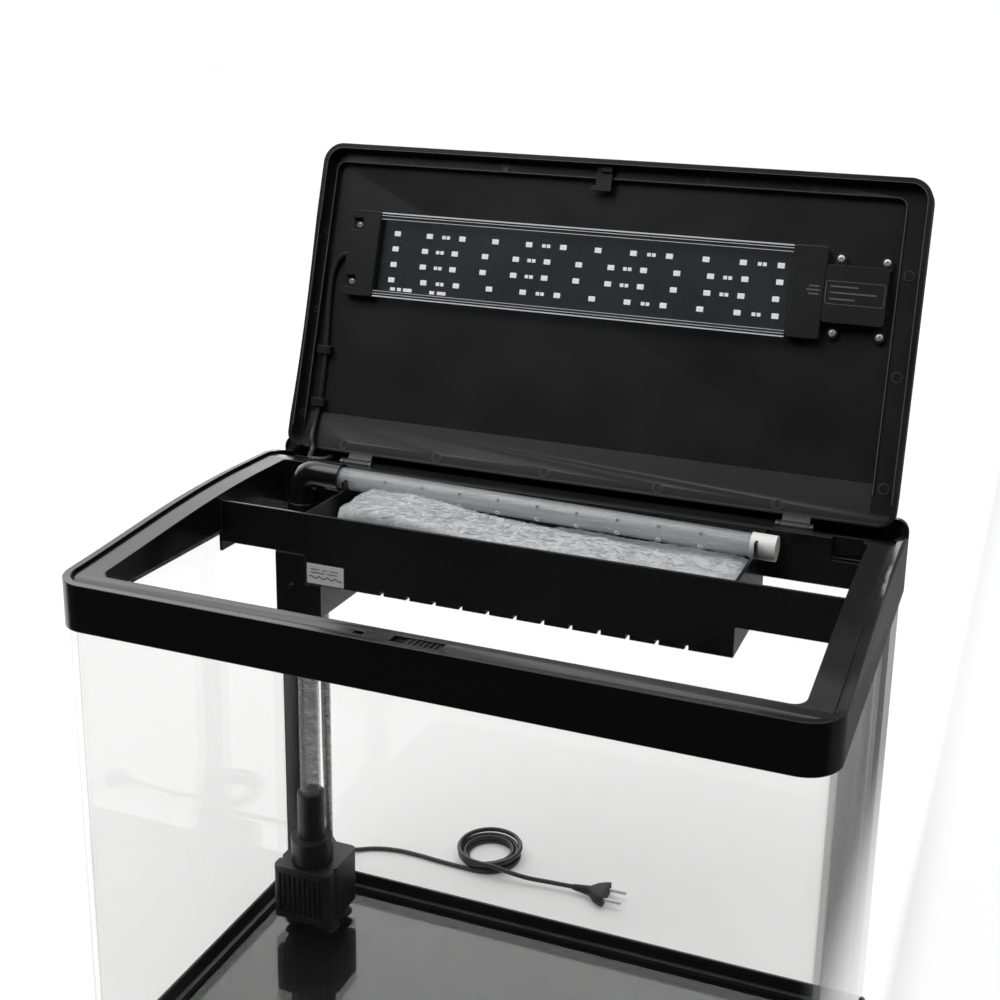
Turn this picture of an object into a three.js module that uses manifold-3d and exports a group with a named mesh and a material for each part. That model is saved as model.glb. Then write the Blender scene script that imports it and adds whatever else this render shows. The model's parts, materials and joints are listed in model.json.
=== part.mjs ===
// Rim-framed glass aquarium with a hinged light hood, a drop-in filter trough and a riser pump.
// Units: millimetres. +X right, +Y back, +Z up. Origin: centre of the base frame's underside.
import * as THREE from 'three';
import { mergeVertices } from 'three/addons/utils/BufferGeometryUtils.js';
import Module from 'manifold-3d';

const wasm = await Module();
wasm.setup();

// ---------- driving dimensions ----------
const WIDTH = 610;                 // over the plastic frames
const DEPTH = 350;
const FRONT_RADIUS = 28;           // frame corners in plan
const REAR_RADIUS = 5;
const RIM_Z = 440;                 // underside of the top frame's skirt
const BASE_HEIGHT = 28;
const GAP = 0.3;                   // clearance between touching pieces

const HALF_W = WIDTH / 2;
const HALF_D = DEPTH / 2;

const SKIN = 2.7;                  // plastic skin of both frames
const GLASS = 5;
const GLASS_BOTTOM = 8.3;
const GLASS_TOP = RIM_Z + 28;
const FLOOR_GLASS = 6;
const SEAM_BACK = 8;               // black silicone band in each rear corner, on the back glass
const SEAM_SIDE = 25;              // and on the side glass

// top frame
const CREST_FRONT = 38.5;          // lip height above the skirt's underside, front
const CREST_REAR = 58;             // and over the rear two thirds
const LIP = 6;                     // width of the raised lip
const GROOVE = 2.6;
const FLAT_DROP = 2.5;             // the flat lies this far below the lip
const OPEN_X = 277;                // inner edge of the side rims
const OPEN_FRONT = -148.5;
const OPEN_REAR = 123;
const REAR_BAR_BOTTOM = 12.7;
const INNER_WALL_BOTTOM = 19;      // lower edge of the walls inside the side and front rims
const GUTTER_FRONT = 137;
const GUTTER_Z = 44;
const REAR_WALL_FRONT = 169.6;
const REAR_WALL_TOP = 64;

// filter trough
const PANEL_FRONT = 15.9;          // front face of the crossbar panel
const PANEL_BOTTOM = 9.2;
const PANEL_TOP = 47.7;
const WALL = 2.5;
const TROUGH_LEFT = -193;
const TROUGH_RIGHT = 192;
const TROUGH_BACK = 118;
const TROUGH_BOTTOM = -17;
const DRAINS = 12;
const DRAIN_PITCH = 24.7;
const DRAIN_FIRST = -118;

// pipework
const PIPE_R = 10;
const PIPE_BORE = 8.2;
const SOCKET_R = 13;
const BAR_Y = 100;
const BAR_LEFT = new THREE.Vector3(-214, BAR_Y, RIM_Z + 54);
const BAR_RIGHT = new THREE.Vector3(194, BAR_Y, RIM_Z + 47.7);
const RISER_X = -242.5;
const CAP_R = 11.1;                 // white end cap of the spray bar
const BEND = 14;                   // centre-line radius of the elbow
const COUPLING_TOP = RIM_Z - 278;
const COLLAR_TOP = RIM_Z - 327;
const PUMP_TOP = 86;
const PUMP_BOTTOM = 24.5;

// hood
const LEAN = THREE.MathUtils.degToRad(16.85);       // open hood leans back this far
const CLOSED_SLOPE = THREE.MathUtils.degToRad(3.8); // closed hood falls to the front
const LID_FOOT = { y: 153, z: RIM_Z + 59.8 };       // lower edge of the hood's rim plane
const PIVOT = { y: 144.1, z: RIM_Z + 52.6 };        // hinge axis
const LID_HALF = 293.5;
const LID_LENGTH = 300;
const LID_DEPTH = 18;
const PLATE = 2.5;
const LID_WALL = 4;
const LID_FOOT_WALL = 2;
const LEDGE_N = -11;                                // ledge around the hood's sunk panel
const PANEL = { left: -282, right: 270.5, top: 283 };
const FLOOR_N = -LID_DEPTH + PLATE;                 // inner face of the hood's plate
const HINGE_X = 211;
const PIN_R = 2;
const KNUCKLE_R = 5;
const KNUCKLE_HALF = 12.2;
const LUG = 4;

// lamp lead
const CORD_R = 2.5;
const CORD_EXIT = { x: -246, y: HALF_D, z: PIVOT.z };

// ---------- materials ----------
const paint = (colour, roughness, metalness = 0, extra = {}) =>
  new THREE.MeshStandardMaterial({ color: colour, roughness, metalness, ...extra });
const GLOSS_BLACK = paint(0x0b0b0c, 0.18);
const SATIN_BLACK = paint(0x151516, 0.5);
const CLEAR = paint(0xdfe6e6, 0.05, 0, { transparent: true, opacity: 0.3 });
const CLEAR_PLASTIC = paint(0xe4e8ea, 0.12, 0, { transparent: true, opacity: 0.4 });
const SILICONE = paint(0x0d0d0e, 0.45);
const WHITE = paint(0xf2f2f0, 0.35);
const WOOL = paint(0xf5f6f6, 0.95);
const STEEL = paint(0xb8babc, 0.28, 1);
const CERAMIC = paint(0xeceae4, 0.3);
const RUBBER = paint(0x101010, 0.7);
const BOARD = paint(0x08090a, 0.35);

// ---------- geometry helpers ----------
const solid = (geometry) => {
  const bare = geometry.clone();
  bare.deleteAttribute('normal');
  bare.deleteAttribute('uv');
  const merged = mergeVertices(bare, 1e-5);
  return new wasm.Manifold(new wasm.Mesh({
    numProp: 3,
    vertProperties: new Float32Array(merged.attributes.position.array),
    triVerts: new Uint32Array(merged.index.array),
  }));
};

const toGeometry = (manifold) => {
  const mesh = manifold.getMesh();
  const geometry = new THREE.BufferGeometry();
  geometry.setAttribute('position', new THREE.BufferAttribute(mesh.vertProperties, 3));
  geometry.setIndex(new THREE.BufferAttribute(mesh.triVerts, 1));
  geometry.computeVertexNormals();
  return geometry;
};

const box = (x0, x1, y0, y1, z0, z1) => {
  const geometry = new THREE.BoxGeometry(x1 - x0, y1 - y0, z1 - z0);
  geometry.translate((x0 + x1) / 2, (y0 + y1) / 2, (z0 + z1) / 2);
  return solid(geometry);
};

// cylinder along 'x', 'y' or 'z' between two coordinates of that axis; (a, b) are the other two
const rod = (axis, radius, from, to, a, b, sides = 24) => {
  const geometry = new THREE.CylinderGeometry(radius, radius, to - from, sides);
  const middle = (from + to) / 2;
  if (axis === 'x') geometry.rotateZ(-Math.PI / 2).translate(middle, a, b);
  if (axis === 'y') geometry.translate(a, middle, b);
  if (axis === 'z') geometry.rotateX(Math.PI / 2).translate(a, b, middle);
  return solid(geometry);
};

const prism = (shape, z0, z1, segments = 8) => {
  const options = { depth: z1 - z0, bevelEnabled: false, curveSegments: segments };
  return solid(new THREE.ExtrudeGeometry(shape, options).translate(0, 0, z0));
};

// a shape drawn in (Y, Z), extruded along X
const prismX = (shape, x0, x1, segments = 8) => {
  const options = { depth: x1 - x0, bevelEnabled: false, curveSegments: segments };
  const geometry = new THREE.ExtrudeGeometry(shape, options).translate(0, 0, x0);
  const basis = new THREE.Matrix4().makeBasis(
    new THREE.Vector3(0, 1, 0), new THREE.Vector3(0, 0, 1), new THREE.Vector3(1, 0, 0));
  return solid(geometry.applyMatrix4(basis));
};

const polygon = (points) => new THREE.Shape(points.map(([a, b]) => new THREE.Vector2(a, b)));

const roundedRect = (x0, x1, y0, y1, rLow, rHigh = rLow) => {
  const shape = new THREE.Shape();
  shape.moveTo(x0 + rLow, y0);
  shape.lineTo(x1 - rLow, y0);
  shape.absarc(x1 - rLow, y0 + rLow, rLow, -Math.PI / 2, 0);
  shape.lineTo(x1, y1 - rHigh);
  shape.absarc(x1 - rHigh, y1 - rHigh, rHigh, 0, Math.PI / 2);
  shape.lineTo(x0 + rHigh, y1);
  shape.absarc(x0 + rHigh, y1 - rHigh, rHigh, Math.PI / 2, Math.PI);
  shape.lineTo(x0, y0 + rLow);
  shape.absarc(x0 + rLow, y0 + rLow, rLow, Math.PI, 1.5 * Math.PI);
  return shape;
};

// the frames' plan outline moved inwards
const outline = (inset) => roundedRect(
  -HALF_W + inset, HALF_W - inset, -HALF_D + inset, HALF_D - inset,
  Math.max(FRONT_RADIUS - inset, 2), Math.max(REAR_RADIUS - inset, 1));

const ring = (outerInset, innerInset, z0, z1) =>
  prism(outline(outerInset), z0, z1).subtract(prism(outline(innerInset), z0 - 1, z1 + 1));

// a round tube or a hollow pipe along a list of points
const sweep = (points, radius, bore, sides, steps) => {
  const shape = new THREE.Shape().absarc(0, 0, radius, 0, 2 * Math.PI);
  if (bore) shape.holes.push(new THREE.Path().absarc(0, 0, bore, 0, 2 * Math.PI, true));
  const vectors = points.map((p) => (p.isVector3 ? p : new THREE.Vector3(...p)));
  const path = new THREE.CatmullRomCurve3(vectors, false, 'centripetal');
  return new THREE.ExtrudeGeometry(shape, {
    extrudePath: path, steps, curveSegments: sides / 2, bevelEnabled: false });
};

const model = new THREE.Group();
const hood = new THREE.Group();
hood.position.set(0, LID_FOOT.y, LID_FOOT.z);
hood.rotation.x = Math.PI / 2 - LEAN;
model.add(hood);

const addTo = (group, name, shape, material) => {
  const mesh = new THREE.Mesh(shape.isBufferGeometry ? shape : toGeometry(shape), material);
  mesh.name = name;
  group.add(mesh);
  return mesh;
};
const add = (name, shape, material) => addTo(model, name, shape, material);
const addHood = (name, shape, material) => addTo(hood, name, shape, material);

// ---------- top frame ----------
// height of the lip's crest above the skirt's underside, at depth y
const crest = (y) => {
  const start = -160;
  const span = 250;
  const t = Math.min(Math.max((y - start) / span, 0), 1);
  const rise = CREST_FRONT + (CREST_REAR - CREST_FRONT) * Math.sin(t * Math.PI / 2) ** 1.25;
  const back = Math.max((y - 128) / 47, 0);
  return rise - 12 * back ** 1.6;
};

// everything above the crest curve lowered by drop, from y0 to y1, over the width +-halfX
const aboveCrest = (drop, y0, y1, halfX) => {
  const steps = 26;
  const points = [];
  for (let i = 0; i <= steps; i += 1) {
    const y = y0 + (y1 - y0) * i / steps;
    points.push([y, RIM_Z + crest(y) - drop]);
  }
  points.push([y1, RIM_Z + 90], [y0, RIM_Z + 90]);
  return prismX(polygon(points), -halfX, halfX);
};

const belowCrest = (drop, y0, y1, halfX) => {
  const steps = 26;
  const points = [[y0, RIM_Z - 5]];
  points.push([y1, RIM_Z - 5]);
  for (let i = 0; i <= steps; i += 1) {
    const y = y1 + (y0 - y1) * i / steps;
    points.push([y, RIM_Z + Math.min(crest(y) - drop, y > 118 ? 30 : 99)]);
  }
  return prismX(polygon(points), -halfX, halfX);
};

const hingeLug = (x0) => {
  const foot = KNUCKLE_R + 1;
  const lug = new THREE.Shape();
  lug.moveTo(PIVOT.y - foot, RIM_Z + GUTTER_Z - 1);
  lug.lineTo(PIVOT.y + foot, RIM_Z + GUTTER_Z - 1);
  lug.lineTo(PIVOT.y + KNUCKLE_R, PIVOT.z);
  lug.absarc(PIVOT.y, PIVOT.z, KNUCKLE_R, 0, Math.PI);
  return prismX(lug, x0, x0 + LUG)
    .subtract(rod('x', PIN_R + GAP, x0 - 1, x0 + LUG + 1, PIVOT.y, PIVOT.z, 16));
};

const CATCH = { x0: -17.5, x1: 22.5, y0: -169, y1: -154, floor: RIM_Z + 33.2 };

const topFrame = () => {
  let frame = prism(outline(0), RIM_Z, RIM_Z + REAR_WALL_TOP);
  frame = frame.subtract(aboveCrest(0, -HALF_D - 1, REAR_WALL_FRONT, HALF_W + 1));
  const flatZone = prism(outline(LIP), RIM_Z - 1, RIM_Z + 99);
  frame = frame.subtract(aboveCrest(FLAT_DROP, -HALF_D, GUTTER_FRONT, HALF_W).intersect(flatZone));
  const grooveZone = ring(LIP, LIP + GROOVE, RIM_Z - 1, RIM_Z + 99);
  frame = frame.subtract(
    aboveCrest(FLAT_DROP + 1.4, -HALF_D, GUTTER_FRONT, HALF_W).intersect(grooveZone));
  // rear hinge gutter and the upright rear wall with rounded shoulders
  const gutterHalf = HALF_W - LIP - 2;
  frame = frame.subtract(box(-gutterHalf, gutterHalf, GUTTER_FRONT, REAR_WALL_FRONT,
    RIM_Z + GUTTER_Z, RIM_Z + 99));
  const shoulder = 12;
  const keep = new THREE.Shape();
  keep.moveTo(-HALF_W - 1, RIM_Z - 9);
  keep.lineTo(HALF_W + 1, RIM_Z - 9);
  keep.lineTo(HALF_W + 1, RIM_Z + REAR_WALL_TOP - shoulder);
  keep.absarc(HALF_W - shoulder, RIM_Z + REAR_WALL_TOP - shoulder, shoulder, 0, Math.PI / 2);
  keep.lineTo(-HALF_W + shoulder, RIM_Z + REAR_WALL_TOP);
  keep.absarc(-HALF_W + shoulder, RIM_Z + REAR_WALL_TOP - shoulder, shoulder,
    Math.PI / 2, Math.PI);
  keep.lineTo(-HALF_W - 1, RIM_Z + REAR_WALL_TOP - shoulder);
  const upright = new THREE.Matrix4().makeBasis(
    new THREE.Vector3(1, 0, 0), new THREE.Vector3(0, 0, 1), new THREE.Vector3(0, -1, 0));
  const keepGeometry = new THREE.ExtrudeGeometry(keep,
    { depth: DEPTH + 4, bevelEnabled: false, curveSegments: 8 });
  keepGeometry.translate(0, 0, -HALF_D - 2).applyMatrix4(upright);
  frame = frame.intersect(solid(keepGeometry));
  // the opening, with small front corners
  const opening = roundedRect(-OPEN_X, OPEN_X, OPEN_FRONT, OPEN_REAR, 10, 3);
  frame = frame.subtract(prism(opening, RIM_Z - 1, RIM_Z + 99));
  // hollow underside, open below, around the glass
  const channel = prism(outline(SKIN), RIM_Z - 2, RIM_Z + 99).subtract(prism(
    roundedRect(-OPEN_X - WALL, OPEN_X + WALL, OPEN_FRONT - WALL, OPEN_REAR + WALL, 12, 4),
    RIM_Z - 3, RIM_Z + 100));
  frame = frame.subtract(belowCrest(6, -HALF_D, HALF_D, HALF_W).intersect(channel));
  frame = frame.subtract(box(-OPEN_X + 0.5, OPEN_X - 0.5, OPEN_REAR - 6, OPEN_REAR + 4,
    RIM_Z - 1, RIM_Z + REAR_BAR_BOTTOM));
  const innerHalf = OPEN_X + WALL + 0.1;
  frame = frame.subtract(box(-innerHalf, innerHalf, OPEN_FRONT - WALL - 0.1, PANEL_FRONT,
    RIM_Z - 1, RIM_Z + INNER_WALL_BOTTOM));
  // raised step in front of the gutter, between the hinges
  const stepHalf = HINGE_X - KNUCKLE_HALF - LUG;
  frame = frame.add(box(-stepHalf, stepHalf, GUTTER_FRONT - 1, GUTTER_FRONT + 12,
    RIM_Z + GUTTER_Z - 1, RIM_Z + crest(GUTTER_FRONT) - FLAT_DROP));
  // small pocket with a drain slot at the right of the rear bar
  frame = frame.subtract(box(247, 273, OPEN_REAR - 1, OPEN_REAR + 9, RIM_Z + 36, RIM_Z + 99));
  frame = frame.subtract(box(252, 270, OPEN_REAR + 3, OPEN_REAR + 8, RIM_Z + 20, RIM_Z + 37));
  // catch pocket, its stem slot and the square key hole in the front flat
  frame = frame.subtract(box(CATCH.x0, CATCH.x1, CATCH.y0, CATCH.y1, CATCH.floor, RIM_Z + 60));
  frame = frame.subtract(box(-47.5, -39.5, -162.5, -157.5, RIM_Z + 20, RIM_Z + 60));
  for (const side of [-1, 1]) {
    const centre = side * HINGE_X;
    frame = frame.add(hingeLug(centre - KNUCKLE_HALF - GAP - LUG));
    frame = frame.add(hingeLug(centre + KNUCKLE_HALF + GAP));
  }
  return frame.subtract(rod('y', 5, 165, HALF_D + 1, CORD_EXIT.x, CORD_EXIT.z, 16));
};
add('top_frame', topFrame(), GLOSS_BLACK);

// ribbed slider in the front pocket
const slideCatch = () => {
  const x0 = CATCH.x0 + 10;
  const x1 = CATCH.x1 - GAP - 0.7;
  const y0 = CATCH.y0 + GAP;
  const y1 = CATCH.y1 - GAP;
  let slider = box(x0, x1, y0, y1, CATCH.floor + GAP, CATCH.floor + 1.8);
  for (let i = 0; i < 6; i += 1) {
    const x = x0 + 3 + i * 4.2;
    slider = slider.add(box(x, x + 1.8, y0 + 1.5, y1 - 1.5, CATCH.floor + 1, CATCH.floor + 3));
  }
  return slider;
};
add('slide_catch', slideCatch(), GLOSS_BLACK);

// ---------- glass body ----------
const GLASS_OUT = SKIN + GAP;
const glassOutline = (inset) => roundedRect(
  -HALF_W + inset, HALF_W - inset, -HALF_D + inset, HALF_D + 40,
  FRONT_RADIUS - inset, 1);
const bentGlass = () => prism(glassOutline(GLASS_OUT), GLASS_BOTTOM, GLASS_TOP, 10)
  .subtract(prism(glassOutline(GLASS_OUT + GLASS), GLASS_BOTTOM - 1, GLASS_TOP + 1, 10))
  .subtract(box(-HALF_W, HALF_W, HALF_D - GLASS_OUT - 2.5, HALF_D + 60, 0, RIM_Z + 60));
add('bent_glass', bentGlass(), CLEAR);

const INNER_X = HALF_W - GLASS_OUT - GLASS;
const BACK_FRONT = HALF_D - GLASS_OUT - GLASS;
add('back_glass', box(-INNER_X + GAP, INNER_X - GAP, BACK_FRONT, HALF_D - GLASS_OUT,
  GLASS_BOTTOM, GLASS_TOP), CLEAR);

const FLOOR_TOP = GLASS_BOTTOM + FLOOR_GLASS;
const floorShape = (inset) => roundedRect(-INNER_X + inset, INNER_X - inset,
  -HALF_D + GLASS_OUT + GLASS + inset, BACK_FRONT - inset, 20 - inset, 1);
add('floor_glass', prism(floorShape(GAP), GLASS_BOTTOM, FLOOR_TOP), CLEAR);
add('floor_silicone', prism(floorShape(GAP), FLOOR_TOP + GAP, FLOOR_TOP + 5)
  .subtract(prism(floorShape(5), FLOOR_TOP, FLOOR_TOP + 6)), SILICONE);

const seam = (side) => {
  const x = side * (INNER_X - GAP);
  const y = BACK_FRONT - GAP;
  const corner = [[x, y], [x - side * SEAM_BACK, y], [x - side * 1.5, y - 4],
    [x - side * 1.2, y - SEAM_SIDE], [x, y - SEAM_SIDE]];
  if (side < 0) corner.reverse();
  return prism(polygon(corner), FLOOR_TOP + 5.4, GLASS_TOP);
};
add('silicone_seam_left', seam(-1), SILICONE);
add('silicone_seam_right', seam(1), SILICONE);

const baseFrame = () => prism(outline(0), 0, BASE_HEIGHT)
  .subtract(prism(outline(SKIN), GLASS_BOTTOM - GAP, BASE_HEIGHT + 1));
add('base_frame', baseFrame(), GLOSS_BLACK);

// ---------- filter trough and what lies in it ----------
const drainX = (i) => DRAIN_FIRST + i * DRAIN_PITCH;

const cradle = (x0, axisZ, radius) => {
  const top = RIM_Z + PANEL_TOP;
  const plate = box(x0, x0 + WALL, 82, 116, RIM_Z, top + 9);
  return plate.subtract(rod('x', radius, x0 - 1, x0 + WALL + 1, BAR_Y, axisZ, 24))
    .subtract(box(x0 - 1, x0 + WALL + 1, BAR_Y - radius, BAR_Y + radius, axisZ, RIM_Z + 99));
};

const barZ = (x) => {
  const t = (x - BAR_LEFT.x) / (BAR_RIGHT.x - BAR_LEFT.x);
  return BAR_LEFT.z + t * (BAR_RIGHT.z - BAR_LEFT.z);
};

const filterTrough = () => {
  const top = RIM_Z + PANEL_TOP;
  const bottom = RIM_Z + TROUGH_BOTTOM;
  let trough = box(-OPEN_X + 0.8, OPEN_X - 0.8, PANEL_FRONT, PANEL_FRONT + WALL,
    RIM_Z + PANEL_BOTTOM, top);
  trough = trough.add(box(TROUGH_LEFT, TROUGH_RIGHT, PANEL_FRONT, TROUGH_BACK, bottom, top));
  trough = trough.subtract(box(TROUGH_LEFT + WALL, TROUGH_RIGHT - WALL, PANEL_FRONT + WALL,
    TROUGH_BACK - WALL, bottom + WALL, top + 1));
  for (const [x0, radius] of [[TROUGH_LEFT, PIPE_R + 0.5], [TROUGH_RIGHT - WALL, CAP_R + 0.5]]) {
    const slot = box(x0 - 1, x0 + WALL + 1, BAR_Y - radius, BAR_Y + radius, barZ(x0), RIM_Z + 99);
    trough = trough.subtract(slot)
      .subtract(rod('x', radius, x0 - 1, x0 + WALL + 1, BAR_Y, barZ(x0), 24))
      .add(cradle(x0, barZ(x0), radius));
  }
  for (let i = 0; i < DRAINS; i += 1) {
    const x = drainX(i);
    trough = trough.subtract(box(x - 1.6, x + 1.6, PANEL_FRONT - 1, TROUGH_BACK - 20,
      bottom - 1, bottom + 4));
  }
  return trough;
};
add('filter_trough', filterTrough(), GLOSS_BLACK);

// slotted plate that keeps the floss off the drains
const mediaGrid = () => {
  const z = RIM_Z + TROUGH_BOTTOM + 5;
  let grid = box(TROUGH_LEFT + WALL + 1, TROUGH_RIGHT - WALL - 1, PANEL_FRONT + WALL + 1,
    TROUGH_BACK - WALL - 1, z, z + 2);
  for (let i = 0; i < 14; i += 1) {
    const x = -172 + i * 26;
    grid = grid.subtract(box(x, x + 12, PANEL_FRONT + 12, TROUGH_BACK - 12, z - 1, z + 3));
  }
  for (const x of [-170, 165]) {
    for (const y of [PANEL_FRONT + 8, TROUGH_BACK - 9]) {
      grid = grid.add(rod('z', 2.5, z - 2.2, z + 1, x, y, 12));
    }
  }
  return grid;
};
add('media_grid', mediaGrid(), SATIN_BLACK);

// the floss pad fills the trough; it is pressed down where it lies under the spray bar
const filterWool = () => {
  const x0 = -168;
  const x1 = TROUGH_RIGHT - WALL - 2;
  const y0 = PANEL_FRONT + WALL + 1.5;
  const z0 = RIM_Z + TROUGH_BOTTOM + 7.5;
  const crown = [[x0, 20], [x0, 58.5], [-106, 57], [-48, 50], [18, 45], [100, 41.5], [150, 40],
    [x1, 37], [x1, 20]];
  const front = solid(new THREE.ExtrudeGeometry(polygon(crown),
    { depth: BAR_Y - CAP_R - 1.4 - y0, bevelEnabled: false })
    .rotateX(Math.PI / 2).translate(0, BAR_Y - CAP_R - 1.4, RIM_Z));
  return box(x0, x1, y0, TROUGH_BACK - WALL - 2, z0, RIM_Z + 36).add(front);
};
add('filter_wool', filterWool(), WOOL);

// deep box under the left wing of the trough, where the water falls back
const returnChamber = () => {
  const z0 = RIM_Z - 48.5;
  const step = RIM_Z + TROUGH_BOTTOM - 1;
  const left = -222.5;
  const right = -178;
  const back = 86;
  const low = box(left, right, PANEL_FRONT, back, z0, step);
  const high = box(left, TROUGH_LEFT - 0.5, PANEL_FRONT, back, z0, RIM_Z + PANEL_BOTTOM - 0.5);
  const lowHole = box(left + 2.2, right - 2.2, PANEL_FRONT + 2.2, back - 2.2, z0 + 2.2, step + 1);
  const highHole = box(left + 2.2, TROUGH_LEFT - 2.7, PANEL_FRONT + 2.2, back - 2.2,
    z0 + 2.2, RIM_Z + 60);
  return low.add(high).subtract(lowHole).subtract(highHole)
    .subtract(box(left + 8, right - 8, back - 5, back + 1, z0 + 6, z0 + 20))
    .add(rod('y', 2.2, PANEL_FRONT - 1.2, PANEL_FRONT + 1, -207, RIM_Z - 22, 16));
};
add('return_chamber', returnChamber(), GLOSS_BLACK);
add('level_label', box(-190.5, -154.5, PANEL_FRONT - GAP - 0.4, PANEL_FRONT - GAP,
  RIM_Z - 15.6, RIM_Z + 2.6), WHITE);

// ---------- pipework ----------
const along = (t) => new THREE.Vector3().lerpVectors(BAR_LEFT, BAR_RIGHT, t);
const barDirection = new THREE.Vector3().subVectors(BAR_RIGHT, BAR_LEFT).normalize();
const placed = (geometry, origin) => {
  const turn = new THREE.Quaternion().setFromUnitVectors(new THREE.Vector3(0, 0, 1), barDirection);
  const matrix = new THREE.Matrix4().compose(origin, turn, new THREE.Vector3(1, 1, 1));
  return solid(geometry.applyMatrix4(matrix));
};
const barRod = (radius, from, to, origin, sides = 24) => placed(
  new THREE.CylinderGeometry(radius, radius, to - from, sides)
    .rotateX(Math.PI / 2).translate(0, 0, (from + to) / 2), origin);

const BAR_LENGTH = BAR_LEFT.distanceTo(BAR_RIGHT);
const sprayBar = () => {
  let bar = barRod(PIPE_R, 0, BAR_LENGTH, BAR_LEFT)
    .subtract(barRod(PIPE_BORE, -1, BAR_LENGTH + 1, BAR_LEFT));
  for (let i = 0; i < 9; i += 1) {
    const centre = along((60 + i * 37) / BAR_LENGTH);
    const hole = new THREE.CylinderGeometry(1.6, 1.6, 12, 8);
    hole.translate(0, -10, 0).rotateX(-Math.PI / 5).translate(centre.x, centre.y, centre.z);
    bar = bar.subtract(solid(hole));
  }
  return bar;
};
add('spray_bar', sprayBar(), CLEAR_PLASTIC);

const sprayCap = () => barRod(CAP_R, -10, 11.6, BAR_RIGHT)
  .subtract(barRod(PIPE_R + GAP, -16, GAP, BAR_RIGHT));
add('spray_bar_cap', sprayCap(), WHITE);

// elbow: the bar's socket, a quarter bend and the riser's socket
const elbowPath = () => {
  const points = [];
  const mouth = BAR_LEFT.clone().addScaledVector(barDirection, 12);
  points.push(mouth, BAR_LEFT.clone());
  const top = BAR_LEFT.z + 0.2;
  for (let i = 0; i <= 6; i += 1) {
    const angle = Math.PI / 2 + i * Math.PI / 12;
    points.push(new THREE.Vector3(RISER_X + BEND + BEND * Math.cos(angle), BAR_Y,
      top - BEND + BEND * Math.sin(angle)));
  }
  points.push(new THREE.Vector3(RISER_X, BAR_Y, top - BEND - 12));
  points.push(new THREE.Vector3(RISER_X, BAR_Y, top - BEND - 24));
  return points;
};
add('elbow', solid(sweep(elbowPath(), SOCKET_R, PIPE_R + GAP, 20, 14)), GLOSS_BLACK);

const pipe = (outer, bore, z0, z1) => rod('z', outer, z0, z1, RISER_X, BAR_Y)
  .subtract(rod('z', bore, z0 - 1, z1 + 1, RISER_X, BAR_Y));
const RISER_TOP = BAR_LEFT.z - BEND - 16;
add('elbow_collar', pipe(SOCKET_R + 3.2, SOCKET_R + GAP, RISER_TOP - 5, RISER_TOP + 3), GLOSS_BLACK);
add('riser_pipe', pipe(PIPE_R, PIPE_BORE, COUPLING_TOP - 30, RISER_TOP), CLEAR_PLASTIC);

const coupling = () => rod('z', 13.4, COLLAR_TOP, COUPLING_TOP, RISER_X, BAR_Y)
  .add(rod('z', 20.6, PUMP_TOP + GAP, COLLAR_TOP, RISER_X, BAR_Y))
  .subtract(rod('z', PIPE_R + GAP, PUMP_TOP - 1, COUPLING_TOP + 1, RISER_X, BAR_Y));
add('riser_coupling', coupling(), SATIN_BLACK);

const AIR_TUBE = { x: RISER_X + 4.5, y: BAR_Y + 26 };
add('air_tube', rod('z', 4, PUMP_TOP - 20, RIM_Z + 8, AIR_TUBE.x, AIR_TUBE.y, 12)
  .subtract(rod('z', 2.8, PUMP_TOP - 21, RIM_Z + 9, AIR_TUBE.x, AIR_TUBE.y, 12)), CLEAR_PLASTIC);
const airClip = () => {
  const z = 300;
  return rod('z', 12.4, z, z + 8, RISER_X, BAR_Y)
    .add(rod('z', 6.4, z, z + 8, AIR_TUBE.x, AIR_TUBE.y, 16))
    .add(box(RISER_X, AIR_TUBE.x, BAR_Y + 8, AIR_TUBE.y, z, z + 8))
    .subtract(rod('z', PIPE_R + GAP, z - 1, z + 9, RISER_X, BAR_Y))
    .subtract(rod('z', 4 + GAP, z - 1, z + 9, AIR_TUBE.x, AIR_TUBE.y, 16));
};
add('air_tube_clip', airClip(), CLEAR_PLASTIC);

// ---------- pump ----------
const PUMP = { x0: RISER_X - 31, x1: RISER_X + 31, y0: 76, yWall: 90, y1: 136 };
const ROTOR_Z = 55;
const ROTOR_R = 12;
const ROTOR_DEPTH = 30;
const SPIGOT_R = 9.4;
const SHAFT_R = 1.2;

const pumpBody = () => prism(roundedRect(PUMP.x0, PUMP.x1, PUMP.yWall, PUMP.y1, 6),
  PUMP_BOTTOM + 4, PUMP_TOP)
  .add(rod('z', SPIGOT_R, PUMP_TOP - 6, PUMP_TOP + 22, RISER_X, BAR_Y + 0.5, 20))
  .subtract(rod('z', SPIGOT_R - 2.2, ROTOR_Z, PUMP_TOP + 23, RISER_X, BAR_Y + 0.5, 20))
  .subtract(rod('y', ROTOR_R, PUMP.yWall - 1, PUMP.yWall + ROTOR_DEPTH, RISER_X, ROTOR_Z))
  .subtract(rod('y', SHAFT_R + GAP, PUMP.yWall, PUMP.yWall + ROTOR_DEPTH + 4,
    RISER_X, ROTOR_Z, 12))
  .subtract(rod('z', 4 + GAP, PUMP_TOP - 21, PUMP_TOP + 1, AIR_TUBE.x, AIR_TUBE.y, 16))
  .subtract(rod('y', 5.2, PUMP.y1 - 4, PUMP.y1 + 1, PUMP.x1 - 12, ROTOR_Z - 12, 16));
add('pump_body', pumpBody(), SATIN_BLACK);

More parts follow.
